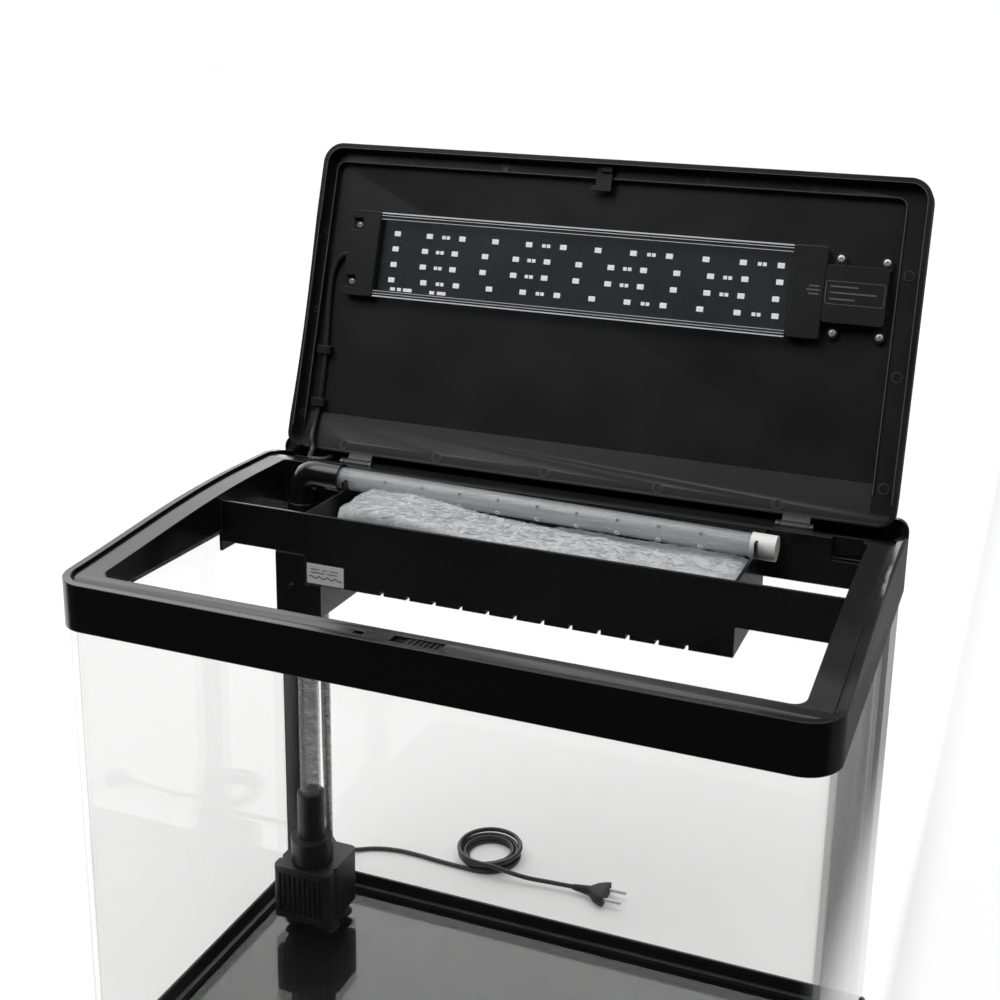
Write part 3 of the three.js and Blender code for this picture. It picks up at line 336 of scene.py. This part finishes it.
def tube(name, points, radius, resolution=6):
    """A round cord as one open curve through the points."""
    curve = bpy.data.curves.new(name, "CURVE")
    curve.dimensions = "3D"
    curve.bevel_depth = radius
    curve.bevel_resolution = 4
    curve.resolution_u = resolution
    curve.use_fill_caps = True
    spline = curve.splines.new("BEZIER")
    spline.bezier_points.add(len(points) - 1)
    for bezier, point in zip(spline.bezier_points, points):
        bezier.co = point
        bezier.handle_left_type = "AUTO"
        bezier.handle_right_type = "AUTO"
    obj = bpy.data.objects.new(name, curve)
    bpy.context.scene.collection.objects.link(obj)
    return obj


CORD_R = 2.5
EXIT = (-246, 178.3, 492.6)
# down the back of the tank and along the floor to the coil
DROP = [EXIT, (-246, 183, 492.6), (-248.4, 192, 491.3), (-256, 203, 487), (-270, 210, 478),
        (-284, 212.5, 463), (-291, 213, 444), (-292, 212, 400), (-291.5, 211, 300),
        (-291, 210, 200), (-290.5, 211, 100), (-290, 213, 55), (-288, 219, 26),
        (-282, 231, 9), (-271, 244, 3), (-256, 253, 2.6), (-232, 259.5, 2.6),
        (-205, 260.5, 2.6), (-178, 258.8, 2.6), (-150, 257.8, 2.6)]
COIL_X, COIL_Y = -130, 292
COIL_OUT, COIL_PITCH = 34.2, 5.15
COIL_LAYERS = (2.6, 7.8)    # heights of the first two layers; the third is one step higher
COIL_TURNS, PER_TURN = 5, 16
PLUG_Y, PLUG_Z = 264, 7
TAIL = [(-112, 257.9, 12.6), (-95, 257.9, 10.4), (-72, 259.5, 7.6), (-48, 262, PLUG_Z),
        (-20.5, PLUG_Y, PLUG_Z)]


def coil_points():
    """Two turns inwards on the floor, two outwards on top of them, and one more on those."""
    low, high = COIL_LAYERS
    points = []
    for i in range(COIL_TURNS * PER_TURN + 1):
        turn = i / PER_TURN
        if turn <= 2:
            radius = COIL_OUT - COIL_PITCH * turn
        elif turn <= 4:
            radius = COIL_OUT - COIL_PITCH * (4 - turn)
        else:
            radius = COIL_OUT
        step = min(max((turn - 1.9) / 0.2, 0), 1) + min(max((turn - 3.9) / 0.2, 0), 1)
        height = low + (high - low) * step
        angle = 2 * math.pi * turn - math.pi / 2
        points.append((COIL_X + radius * math.cos(angle), COIL_Y + radius * math.sin(angle),
                       height))
    return points


def loft(name, sections, closed_ends=True, smooth_angle=40):
    """Skin over a list of rings that all have the same number of points."""
    bm = bmesh.new()
    rings = [[bm.verts.new(p) for p in section] for section in sections]
    count = len(rings[0])
    for ring_a, ring_b in zip(rings, rings[1:]):
        for i in range(count):
            j = (i + 1) % count
            bm.faces.new((ring_a[i], ring_a[j], ring_b[j], ring_b[i]))
    if closed_ends:
        bm.faces.new(list(reversed(rings[0])))
        bm.faces.new(rings[-1])
    bmesh.ops.recalc_face_normals(bm, faces=bm.faces)
    return link_mesh(name, bm, True, smooth_angle)


def super_ring(x, y, z, half_y, half_z, power, count=32):
    """A ring across x: an ellipse at power 2, closer to a rectangle at higher powers."""
    ring = []
    for i in range(count):
        angle = 2 * math.pi * i / count
        c, s = math.cos(angle), math.sin(angle)
        ring.append(Vector((x, y + math.copysign(abs(c) ** (2 / power), c) * half_y,
                            z + math.copysign(abs(s) ** (2 / power), s) * half_z)) * MM)
    return ring


def make_plug():
    """A flat two-pin plug with a ribbed sleeve on the cord."""
    y, z = PLUG_Y, PLUG_Z
    sections = []
    for i in range(9):
        x = -20 + i * 2.4
        rib = 0.5 if i % 2 else 0.0
        radius = 3.4 + 0.28 * i
        sections.append(super_ring(x, y, z, radius - rib, min(radius - rib, 6.6), 2))
    for x, half_y, half_z, power in [(2, 8, 6.4, 2.4), (6, 13, 6.6, 3), (13, 16.4, 6.7, 3.6),
                                     (17, 17.2, 6.7, 4.5), (17.8, 16.8, 6.4, 4.5)]:
        sections.append(super_ring(x, y, z, half_y, half_z, power))
    body = loft("plug_body", sections)
    pins = []
    for side in (-9.5, 9.5):
        rings = [super_ring(x, y + side, z, r, r, 2, 16)
                 for x, r in [(17, 2), (27, 2), (27.1, 1.95), (36, 1.95), (37, 1.2)]]
        pins.append(loft("plug_pin", rings))
    return body, pins


def make_free_lead():
    lead = tube("free_lead", to_m(DROP + coil_points() + TAIL), CORD_R * MM)
    finish_piece(lead, "lamp_lead", JACKET,
                 ("lamp_lead", "lamp_lead_coil", "lamp_lead_tail"))
    body, pins = make_plug()
    finish_piece(body, "lamp_plug", RUBBER, ("lamp_plug",))
    for pin in pins:
        finish_piece(pin, "lamp_plug", STEEL)


make_free_lead()

# the hood's own frame: x right, y up the open hood, z out of its open side
LEAN = math.radians(16.85)
HOOD_FOOT = (0, 153, RIM_Z + 59.8)
HOOD = Matrix.Translation(Vector(HOOD_FOOT) * MM) @ Matrix.Rotation(math.pi / 2 - LEAN, 4, "X")


def hood_points(points):
    return [HOOD @ (Vector(p) * MM) for p in points]


PANEL_N = -15.5                     # the hood's sunk panel
LAMP_N = PANEL_N + 0.3
LEAD_N = PANEL_N + CORD_R + 0.5
PIVOT_S, PIVOT_N = -9.47, 6.43
HOOD_ROUTE = [(-248, 194, LAMP_N + 3.7), (-260, 193.7, LAMP_N + 3.7), (-269, 188, LEAD_N),
              (-274.2, 174, LEAD_N), (-274.8, 152, LEAD_N), (-271.6, 102, LEAD_N),
              (-270.4, 70, LEAD_N), (-270.8, 42, LEAD_N), (-271, 22, -9.2), (-269.5, 8, -5),
              (-266.5, 0, -3.6), (-264.5, -6, 1.5), (-261, PIVOT_S, PIVOT_N),
              (-255, PIVOT_S, PIVOT_N)]
ROOT_ROUTE = [(-254.7, 144.1, 492.6), (-252, 144.3, 492.6), (-248.4, 147.1, 492.6),
              (-246.4, 152.1, 492.6), (-246, 158.1, 492.6), (-246, 166, 492.6),
              (-246, 178, 492.6)]
finish_piece(tube("hood_lead", hood_points(HOOD_ROUTE), CORD_R * MM, 10), "lamp_lead_hood",
             JACKET, ("lamp_lead_hood",))
finish_piece(tube("root_lead", to_m(ROOT_ROUTE), CORD_R * MM, 10), "lamp_lead_root",
             JACKET, ("lamp_lead_root",))

# ---------------------------------------------------------------- dressed copies of CAD nodes


def dressed(node, width=0.0, segments=2, angle=32):
    """A copy of a CAD node with merged flats, rounded edges and smooth curved faces."""
    bm = bmesh.new()
    bm.from_mesh(NODES[node].data)
    bmesh.ops.remove_doubles(bm, verts=bm.verts, dist=2e-6)
    bmesh.ops.dissolve_limit(bm, angle_limit=math.radians(0.4), verts=bm.verts,
                             edges=bm.edges, use_dissolve_boundaries=False)
    obj = link_mesh(node + "_dressed", bm, True, angle)
    if width:
        bevel = obj.modifiers.new("edges", "BEVEL")
        bevel.width = width * MM
        bevel.segments = segments
        bevel.limit_method = "ANGLE"
        bevel.angle_limit = math.radians(angle)
        bevel.harden_normals = True
        bevel.use_clamp_overlap = True
    else:
        flat = obj.modifiers.new("flats", "WEIGHTED_NORMAL")
        flat.keep_sharp = True
        flat.weight = 100
    slot = SLOTS[node]
    return finish_piece(obj, node, OWN_MATERIAL.get(node, SLOT_MATERIAL[slot]), (node,))


# width of the rounding on each node's edges
BEVELS = {"top_frame": 1.3, "base_frame": 0.8, "hood_shell": 0.5, "filter_trough": 0.35,
          "return_chamber": 0.3, "slide_catch": 0.3, "hood_catch_tab": 0.3, "media_grid": 0.25,
          "pump_body": 0.8, "pump_strainer": 0.5, "riser_coupling": 0.8, "spray_bar_cap": 1.2,
          "elbow_collar": 0.5, "lamp_cap_left": 0.7, "lamp_cap_right": 0.7,
          "lamp_driver": 0.7, "lead_clip_upper": 0.3, "lead_clip_lower": 0.3,
          "lead_grommet": 0.4, "pump_gland": 0.5, "impeller": 0.2, "lamp_cover": 0.3,
          "lamp_board": 0.0, "bent_glass": 0.0, "back_glass": 0.0, "floor_glass": 0.0,
          "floor_silicone": 0.4, "silicone_seam_left": 0.0, "silicone_seam_right": 0.0,
          "level_label": 0.0, "spray_bar": 0.0, "elbow": 0.4, "riser_pipe": 0.0,
          "air_tube": 0.0, "air_tube_clip": 0.3, "impeller_shaft": 0.2, "hinge_pin_left": 0.3,
          "hinge_pin_right": 0.3, "suction_cup_1": 0.2, "suction_cup_2": 0.2,
          "suction_cup_3": 0.2, "suction_cup_4": 0.2}
for cad_node, edge_width in BEVELS.items():
    dressed(cad_node, edge_width)

# ---------------------------------------------------------------- lamp details


def box_in(bm, centre, size, matrix):
    """Add a box to bm, centre and size in the matrix's own frame."""
    result = bmesh.ops.create_cube(bm, size=1.0)
    place = Matrix.Translation(Vector(centre) * MM) @ Matrix.Diagonal((*[s * MM for s in size], 1))
    bmesh.ops.transform(bm, matrix=matrix @ place, verts=result["verts"])


def disc_in(bm, centre, radius, height, matrix, sides=24):
    result = bmesh.ops.create_cone(bm, cap_ends=True, segments=sides, radius1=radius * MM,
                                   radius2=radius * MM, depth=height * MM)
    bmesh.ops.transform(bm, matrix=matrix @ Matrix.Translation(Vector(centre) * MM),
                        verts=result["verts"])


BOARD_TOP = LAMP_N + 1.6
# height, first chip and spacing of each row of chips
ROWS = ((217.2, -209.8, 34.35), (202.3, -210.1, 31.55), (187, -210.1, 31.4),
        (171.9, -210.4, 34.4))
BOARD_END = 172
# plain pads where the board's print would stand: x and width
PAD_S = 163.2
PADS = ((-208, 5), (-201, 4), (-192, 9), (-166, 5), (-156, 9))


def chip_places():
    """Chips in four rows, with a pair of resistors in the second gap and every third after it."""
    for s, first, pitch in ROWS:
        index = 0
        while first + index * pitch < BOARD_END:
            yield "chip", first + index * pitch, s
            if index % 3 == 1:
                yield "resistor", first + (index + 0.5) * pitch, s
            index += 1


def make_board_parts():
    packages, lenses, resistors = bmesh.new(), bmesh.new(), bmesh.new()
    for kind, x, s in chip_places():
        if kind == "chip":
            box_in(packages, (x, s, BOARD_TOP + 0.5), (6.4, 4.8, 1.0), HOOD)
            disc_in(lenses, (x, s, BOARD_TOP + 1.06), 1.8, 0.12, HOOD)
        else:
            for side in (-2.3, 2.3):
                box_in(resistors, (x + side, s, BOARD_TOP + 0.3), (3.4, 3.2, 0.6), HOOD)
    for x, width in PADS:
        box_in(resistors, (x, PAD_S, BOARD_TOP + 0.2), (width, 3.2, 0.4), HOOD)
    # the packages, phosphor and resistors all carry the painted glow
    for name, bm, material in (("chip_packages", packages, CHIP_PAINTED_GLOW),
                               ("chip_lenses", lenses, PHOSPHOR_PAINTED_GLOW),
                               ("board_resistors", resistors, CHIP_PAINTED_GLOW)):
        obj = link_mesh(name, bm, False)
        if name == "chip_packages":
            bevel = obj.modifiers.new("edges", "BEVEL")
            bevel.width = 0.3 * MM
            bevel.segments = 2
        finish_piece(obj, "lamp_board", material)


make_board_parts()


# radius and height down a pan head and its shank
SCREW_PROFILE = ((1.2, 1.88), (2.2, 1.65), (3.0, 1.2), (3.35, 0.6), (3.4, 0.3), (1.4, 0.3),
                 (1.4, -2.4))


def make_screw(index, x, s, seat):
    """Pan head with a cross recess, on its shank."""
    bm = bmesh.new()
    sides = 32
    rings = []
    for radius, height in SCREW_PROFILE:
        rings.append([bm.verts.new(Vector((radius * math.cos(2 * math.pi * i / sides),
                                           radius * math.sin(2 * math.pi * i / sides),
                                           height)) * MM) for i in range(sides)])
    for ring_a, ring_b in zip(rings, rings[1:]):
        for i in range(sides):
            j = (i + 1) % sides
            bm.faces.new((ring_a[i], ring_b[i], ring_b[j], ring_a[j]))
    bm.faces.new(rings[0])
    bm.faces.new(list(reversed(rings[-1])))
    bmesh.ops.recalc_face_normals(bm, faces=bm.faces)
    head = link_mesh(f"screw_{index}", bm, True, 35)
    turn = random.Random(index).uniform(0, math.pi / 2)
    cutter_bm = bmesh.new()
    for angle in (turn, turn + math.pi / 2):
        box_in(cutter_bm, (0, 0, 1.6), (3.6, 0.75, 1.6), Matrix.Rotation(angle, 4, "Z"))
    cutter = link_mesh(f"screw_recess_{index}", cutter_bm, False)
    cut = head.modifiers.new("recess", "BOOLEAN")
    cut.object = cutter
    cut.solver = "EXACT"
    cut.use_self = True
    graph = bpy.context.evaluated_depsgraph_get()
    head.data = bpy.data.meshes.new_from_object(head.evaluated_get(graph))
    head.modifiers.clear()
    bpy.data.objects.remove(cutter)
    head.data.transform(HOOD @ Matrix.Translation(Vector((x, s, seat)) * MM))
    finish_piece(head, f"lamp_screw_{index}", STEEL, (f"lamp_screw_{index}",))


# the first two screws sit on the left cap, the others on the driver's ears
CAP_SEAT, EAR_SEAT = -12, LAMP_N + 3.5
SCREWS = [(-250.6, 223, CAP_SEAT), (-251.4, 166.8, CAP_SEAT), (220.2, 227.4, EAR_SEAT),
          (260.2, 226.8, EAR_SEAT), (220.2, 161.8, EAR_SEAT), (260.8, 161.7, EAR_SEAT)]
for number, screw in enumerate(SCREWS, 1):
    make_screw(number, *screw)

# ---------------------------------------------------------------- printed lines and painted highlight lines


def strip(name, points, width, thickness, matrix, body, material):
    """A thin raised line through points, for printed outlines and waves, and for painted highlight
    lines.
    """
    bm = bmesh.new()
    rows = []
    for i, point in enumerate(points):
        before = Vector(points[max(i - 1, 0)])
        after = Vector(points[min(i + 1, len(points) - 1)])
        along = (after - before).normalized()
        side = Vector((-along.y, along.x, 0)) * width / 2
        low, high = Vector(point) - side, Vector(point) + side
        rise = Vector((0, 0, thickness))
        rows.append([bm.verts.new(matrix @ (p * MM)) for p in
                     (low, high, high + rise, low + rise)])
    for row_a, row_b in zip(rows, rows[1:]):
        for i in range(4):
            j = (i + 1) % 4
            bm.faces.new((row_a[i], row_b[i], row_b[j], row_a[j]))
    bm.faces.new(rows[0])
    bm.faces.new(list(reversed(rows[-1])))
    bmesh.ops.recalc_face_normals(bm, faces=bm.faces)
    return finish_piece(link_mesh(name, bm, False), body, material)


def rounded_outline(x0, x1, y0, y1, radius, z):
    """A closed rectangle with round corners, in the plane at z."""
    points = []
    for cx, cy, start in ((x1 - radius, y1 - radius, 0), (x0 + radius, y1 - radius, 90),
                          (x0 + radius, y0 + radius, 180), (x1 - radius, y0 + radius, 270)):
        for i in range(5):
            angle = math.radians(start + 22.5 * i)
            points.append((cx + radius * math.cos(angle), cy + radius * math.sin(angle), z))
    points.append(points[0])
    return points


# the driver's printed field: an outline with plain dashes where its print would stand
DRIVER_TOP, CAP_TOP = -4.48, -5.48
DRIVER_DASHES = [("lamp_driver", 215, 202, DRIVER_TOP, 24),
                 ("lamp_driver", 215, 196.5, DRIVER_TOP, 40),
                 ("lamp_driver", 215, 191, DRIVER_TOP, 22),
                 ("lamp_cap_right", 196, 201, CAP_TOP, 9),
                 ("lamp_cap_right", 194, 197.5, CAP_TOP, 12),
                 ("lamp_cap_right", 196, 194, CAP_TOP, 9)]


def make_driver_print():
    strip("driver_label_outline", rounded_outline(211, 262, 186.5, 206.5, 2, DRIVER_TOP), 0.5,
          0.1, HOOD, "lamp_driver", PRINT)
    for index, (node, x, s, n, length) in enumerate(DRIVER_DASHES):
        strip(f"driver_dash_{index}", [(x, s, n), (x + length, s, n)], 1.3, 0.1, HOOD, node,
              PRINT)


make_driver_print()

# pale raised lines on the hood's inside, painted highlights along the bead's crest, the inner edge
# of the rim and round marks
BEAD_N = -9.75
BEAD = {"left": -282.8, "right": 271.3, "top": 283.8, "foot": 26.5, "radius": 8.5}
RIM_LINE_N = -0.05
RIM_LINE = {"half": 289.2, "top": 295.7, "foot": 20, "radius": 15.7}
MARKS = [(-200.5, 289, 4.4), (-105, 289, 4.4), (96, 289, 4.4), (192, 289, 4.4),
         (279.8, 217, 4.4), (279.8, 129, 4.4), (279.8, 33, 4.4), (-286, 215, 2.7),
         (-286, 136, 2.7), (-286, 33, 2.7)]
MARK_N = -10.62
FOOT_MARKS = (-236, -137.5, -27.5, 81.5, 190.8)
FOOT_MARK = Matrix.Translation(Vector((0, 7.4, -10.0)) * MM) @ Matrix.Rotation(-0.17, 4, "X")


def corner(cx, cy, radius, start, z):
    """A quarter turn, clockwise from start degrees."""
    return [(cx + radius * math.cos(math.radians(a)), cy + radius * math.sin(math.radians(a)), z)
            for a in range(start, start - 91, -15)]


def circle(x, y, radius, z):
    return [(x + radius * math.cos(math.pi * i / 12), y + radius * math.sin(math.pi * i / 12), z)
            for i in range(25)]


def arch(left, right, foot, top, radius, z):
    """Up the left side, across the top and down the right side, with round corners."""
    return ([(left, foot, z)] + corner(left + radius, top - radius, radius, 180, z)
            + corner(right - radius, top - radius, radius, 90, z) + [(right, foot, z)])


def hood_line(name, points, width, thickness, matrix=HOOD):
    strip(name, points, width, thickness, matrix, "hood_shell", EDGE_HIGHLIGHT_LINE)


def make_hood_lines():
    hood_line("hood_bead_line", arch(BEAD["left"], BEAD["right"], BEAD["foot"], BEAD["top"],
                                     BEAD["radius"], BEAD_N), 0.7, 0.12)
    hood_line("hood_rim_line", arch(-RIM_LINE["half"], RIM_LINE["half"], RIM_LINE["foot"],
                                    RIM_LINE["top"], RIM_LINE["radius"], RIM_LINE_N), 0.6, 0.05)
    for index, (x, s, radius) in enumerate(MARKS):
        hood_line(f"hood_mark_{index}", circle(x, s, radius, MARK_N), 0.4, 0.14)
    for index, x in enumerate(FOOT_MARKS):
        hood_line(f"hood_foot_mark_{index}", circle(x, 0, 4.4, 0), 0.45, 0.14, HOOD @ FOOT_MARK)


make_hood_lines()

# pale strips along the long edges of the lamp's clear cover, painted highlights where light
# catches the cover's rounded edges: height and width
COVER_FROM, COVER_TO, COVER_TOP = -225.6, 178.9, -6.55
RAILS = ((235.4, 1.3), (232.9, 0.6), (229.6, 0.5), (154.3, 1.2), (156.8, 0.6), (159.4, 0.5))
for rail, (rail_s, rail_width) in enumerate(RAILS):
    strip(f"cover_rail_highlight_{rail}", [(COVER_FROM, rail_s, COVER_TOP), (COVER_TO, rail_s, COVER_TOP)],
          rail_width, 0.14, HOOD, "lamp_cover", RAIL_HIGHLIGHT_AND_NOZZLE_WHITE)

# nozzles along the front of the spray bar, each a raised rim around its hole
BAR_FROM, BAR_TO = Vector((-214, 100, RIM_Z + 54)), Vector((194, 100, RIM_Z + 47.7))
BAR_R = 9.9
NOZZLES, FIRST_NOZZLE, NOZZLE_PITCH = 9, 60, 37
NOZZLE_R = 1.9
NOZZLE_DIP = math.radians(36)       # how far they point below straight forward


def make_nozzles():
    along = (BAR_TO - BAR_FROM).normalized()
    out = Vector((0, -math.cos(NOZZLE_DIP), -math.sin(NOZZLE_DIP)))
    turned = out.to_track_quat("Z", "Y").to_matrix().to_4x4()
    bm = bmesh.new()
    for i in range(NOZZLES):
        centre = BAR_FROM + along * (FIRST_NOZZLE + NOZZLE_PITCH * i)
        place = Matrix.Translation((centre + out * BAR_R) * MM) @ turned
        for turn in range(16):
            angle = math.pi * turn / 8
            rim_x, rim_y = NOZZLE_R * math.cos(angle), NOZZLE_R * math.sin(angle)
            box_in(bm, (rim_x, rim_y, 0.2), (0.8, 0.8, 0.7), place)
    finish_piece(link_mesh("spray_nozzles", bm, True), "spray_bar", RAIL_HIGHLIGHT_AND_NOZZLE_WHITE)


make_nozzles()

# the water level label's print, in a plane that faces the front: a wave with dashes above it
FRONT_PLANE = Matrix.Rotation(math.pi / 2, 4, "X")
LABEL_Y = 15.18
WAVE_X, WAVE_Z, WAVE_HEIGHT, WAVE_LENGTH = -188.5, RIM_Z - 9.5, 1.0, 32
WAVE_STEPS, STEPS_PER_HALF_WAVE = 40, 5
LABEL_DASHES = [(-187, RIM_Z - 2.2, 9), (-175.5, RIM_Z - 2.2, 5), (-168, RIM_Z - 2.2, 8),
                (-187, RIM_Z - 5.2, 14), (-170.5, RIM_Z - 5.2, 10)]


def label_line(name, points, width):
    strip(name, points, width, 0.1, FRONT_PLANE, "level_label", INK)


def make_label_print():
    wave = []
    for i in range(WAVE_STEPS + 1):
        rise = WAVE_HEIGHT * math.sin(i * math.pi / STEPS_PER_HALF_WAVE)
        wave.append((WAVE_X + WAVE_LENGTH * i / WAVE_STEPS, WAVE_Z + rise, -LABEL_Y))
    label_line("label_wave", wave, 1.1)
    for index, (x, z, length) in enumerate(LABEL_DASHES):
        label_line(f"label_dash_{index}", [(x, z, -LABEL_Y), (x + length, z, -LABEL_Y)], 0.9)


make_label_print()

# ---------------------------------------------------------------- filter floss

# height of the pad's crown over the rim plane, in front of the bar, from left to right
CROWN = [(-168, 58.5), (-106, 57), (-48, 50), (18, 45), (100, 41.5), (150, 40), (188, 36)]
PRESSED_FROM, PRESSED_TO = 79, 87       # the pad steps down here, just in front of the bar
PRESSED_TOP = 35.6
FIBRES, FIBRE_STEP = 1500, 3.2


def pad_top(x, y):
    """Height of the pad's top over the rim plane."""
    crown = CROWN[-1][1]
    for (x0, z0), (x1, z1) in zip(CROWN, CROWN[1:]):
        if x < x1:
            crown = z0 + (z1 - z0) * max(x - x0, 0) / (x1 - x0)
            break
    t = min(max((y - PRESSED_FROM) / (PRESSED_TO - PRESSED_FROM), 0), 1)
    return crown + (min(PRESSED_TOP, crown) - crown) * t * t * (3 - 2 * t)


def make_fibres(tree, low, high):
    """Stray fibres lying over the top and the left end of the pad."""
    rng = random.Random(11)
    curve = bpy.data.curves.new("floss_fibres", "CURVE")
    curve.dimensions = "3D"
    curve.bevel_depth = 0.2 * MM
    curve.bevel_resolution = 0
    curve.resolution_u = 3
    for _ in range(FIBRES):
        x = low.x + 4 + (high.x - low.x - 8) * rng.random() ** 1.3
        y = rng.uniform(low.y + 3, high.y - 3)
        angle = rng.uniform(0, 2 * math.pi)
        bend = rng.uniform(-0.5, 0.5)
        points = []
        for i in range(4):
            here = Vector((x, y, high.z + 20)) * MM
            hit = tree.ray_cast(here, Vector((0, 0, -1)))[0]
            if hit is None or x < low.x + 1 or x > high.x - 1:
                break
            points.append(hit + Vector((0, 0, rng.uniform(0.0, 1.6) * MM)))
            x += FIBRE_STEP * math.cos(angle + bend * i)
            y += FIBRE_STEP * math.sin(angle + bend * i)
        if len(points) < 3:
            continue
        spline = curve.splines.new("POLY")
        spline.points.add(len(points) - 1)
        for target, point in zip(spline.points, points):
            target.co = (*point, 1)
    fibres = bpy.data.objects.new("floss_fibres", curve)
    bpy.context.scene.collection.objects.link(fibres)
    finish_piece(fibres, "filter_wool", FLOSS)


def make_floss():
    """A loose pad of polyester floss: lumpy, pressed down under the bar, with stray fibres."""
    low, high = (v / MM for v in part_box("filter_wool"))
    centre = (low + high) / 2
    half = (high - low) / 2
    bm = bmesh.new()
    bmesh.ops.create_cube(bm, size=2.0)
    for axis, cuts in ((0, 90), (1, 26), (2, 12)):
        edges = [e for e in bm.edges
                 if abs((e.verts[0].co - e.verts[1].co)[axis]) > 0.5]
        bmesh.ops.subdivide_edges(bm, edges=edges, cuts=cuts, use_grid_fill=True)
    power = 14.0            # how square the pad is: a high power leaves a box with soft edges
    for vert in bm.verts:
        p = vert.co
        spread = (abs(p.x) ** power + abs(p.y) ** power + abs(p.z) ** power) ** (1 / power)
        p = p / spread
        point = Vector((centre.x + p.x * half.x, centre.y + p.y * half.y,
                        centre.z + p.z * half.z))
        lump = 1.9 * noise.noise(point / 30) + 1.2 * noise.noise(point / 9)
        fuzz = 0.8 * noise.noise(point / 3.1) + 0.5 * noise.noise(point / 1.6)
        depth = 1.9 + lump + fuzz
        pull = Vector((p.x * 0.8, p.y * 0.6, p.z)).normalized()
        point -= pull * max(depth, 0.3)
        drop = high.z - RIM_Z - pad_top(point.x, point.y)
        point.z -= drop * max(p.z + 1, 0) / 2
        vert.co = point * MM
    tree = BVHTree.FromBMesh(bm)
    pad = link_mesh("floss_pad", bm, True)
    finish_piece(pad, "filter_wool", FLOSS, ("filter_wool",))
    make_fibres(tree, low, high)


make_floss()

# ---------------------------------------------------------------- stage and light

FLOOR_HALF = 25.0                   # metres, as are the zones below
DARK_TO, PALE_FROM = -0.32, -0.14   # the floor is dark in front of the first y, pale behind
RIGHT_PALE_TO, RIGHT_DARK_FROM = 0.31, 0.36
STUDIO_DARK, STUDIO_BRIGHT = 0.015, 1.9
# name, place, aim, size in metres, power in watts
LIGHTS = (("key", (-0.9, -0.6, 2.2), (0, 0, 0.45), 1.4, 18),
          ("fill", (1.6, -0.5, 1.9), (0, 0, 0.4), 1.0, 5))


def combine(tree, operation, first, second):
    """One math node of two inputs: MULTIPLY or MAXIMUM."""
    node = add_node(tree, "ShaderNodeMath", operation=operation)
    tree.links.new(first, node.inputs[0])
    tree.links.new(second, node.inputs[1])
    return node.outputs[0]


def fall_off(tree, vector_output, axis, low, high):
    """0 below low and 1 above high along one axis of a vector, smoothly in between."""
    split = add_node(tree, "ShaderNodeSeparateXYZ")
    tree.links.new(vector_output, split.inputs[0])
    ramp = add_node(tree, "ShaderNodeMapRange", interpolation_type="SMOOTHSTEP")
    ramp.inputs["From Min"].default_value = low
    ramp.inputs["From Max"].default_value = high
    tree.links.new(split.outputs[axis], ramp.inputs["Value"])
    return ramp.outputs["Result"]


def make_floor():
    """Pale behind the object and dark around it, but plain white to the camera."""
    bm = bmesh.new()
    bmesh.ops.create_grid(bm, x_segments=2, y_segments=2, size=FLOOR_HALF)
    floor = link_mesh("floor", bm, False)
    material, tree, shader, _ = new_material("pale_floor")
    coords = object_coords(tree)
    right = remap(tree, fall_off(tree, coords, 0, RIGHT_PALE_TO, RIGHT_DARK_FROM), 0, 1, 1, 0.1)
    pale = combine(tree, "MULTIPLY", fall_off(tree, coords, 1, DARK_TO, PALE_FROM), right)
    tree.links.new(mix_colour(tree, pale, (0.02, 0.02, 0.02), (0.8, 0.8, 0.8)),
                   shader.inputs["Base Color"])
    seen = add_node(tree, "ShaderNodeLightPath").outputs["Is Camera Ray"]
    white = combine(tree, "MULTIPLY", seen, remap(tree, pale, 0, 1, 0.98, 0.0))
    glow = combine(tree, "MAXIMUM", white, remap(tree, pale, 0, 1, 0.0, 0.22))
    shader.inputs["Emission Color"].default_value = (1, 1, 1, 1)
    tree.links.new(glow, shader.inputs["Emission Strength"])
    shader.inputs["Roughness"].default_value = 0.8
    shader.inputs["Specular IOR Level"].default_value = 0.1
    floor.data.materials.append(material)


def make_world():
    """White behind and above the object, dark in front and on the right, white to the camera."""
    world = bpy.data.worlds.new("studio")
    bpy.context.scene.world = world
    world.use_nodes = True
    tree = world.node_tree
    background = tree.nodes["Background"]
    direction = add_node(tree, "ShaderNodeTexCoord").outputs["Generated"]
    back = fall_off(tree, direction, 1, -0.3, 0.3)
    behind = remap(tree, fall_off(tree, direction, 0, -0.02, 0.12), 0, 1, 1, 0.12)
    behind = combine(tree, "MULTIPLY", back, behind)
    above = remap(tree, fall_off(tree, direction, 2, 0.66, 0.88), 0, 1, 0, 0.85)
    lit = combine(tree, "MAXIMUM", behind, above)
    studio = remap(tree, lit, 0, 1, STUDIO_DARK, STUDIO_BRIGHT)
    path = add_node(tree, "ShaderNodeLightPath")
    seen = add_node(tree, "ShaderNodeMix", data_type="FLOAT")
    tree.links.new(path.outputs["Is Camera Ray"], seen.inputs[0])
    tree.links.new(studio, seen.inputs[2])
    seen.inputs[3].default_value = 1.0
    tree.links.new(seen.outputs[0], background.inputs["Strength"])
    background.inputs["Color"].default_value = (1, 1, 1, 1)


def make_lights():
    for name, place, target, size, power in LIGHTS:
        data = bpy.data.lights.new(name, "AREA")
        data.size = size
        data.energy = power
        lamp = bpy.data.objects.new(name, data)
        lamp.location = place
        aim = Vector(target) - Vector(place)
        lamp.rotation_euler = aim.to_track_quat("-Z", "Y").to_euler()
        bpy.context.scene.collection.objects.link(lamp)


bpy.context.scene.view_settings.view_transform = "Standard"
make_floor()
make_world()
make_lights()
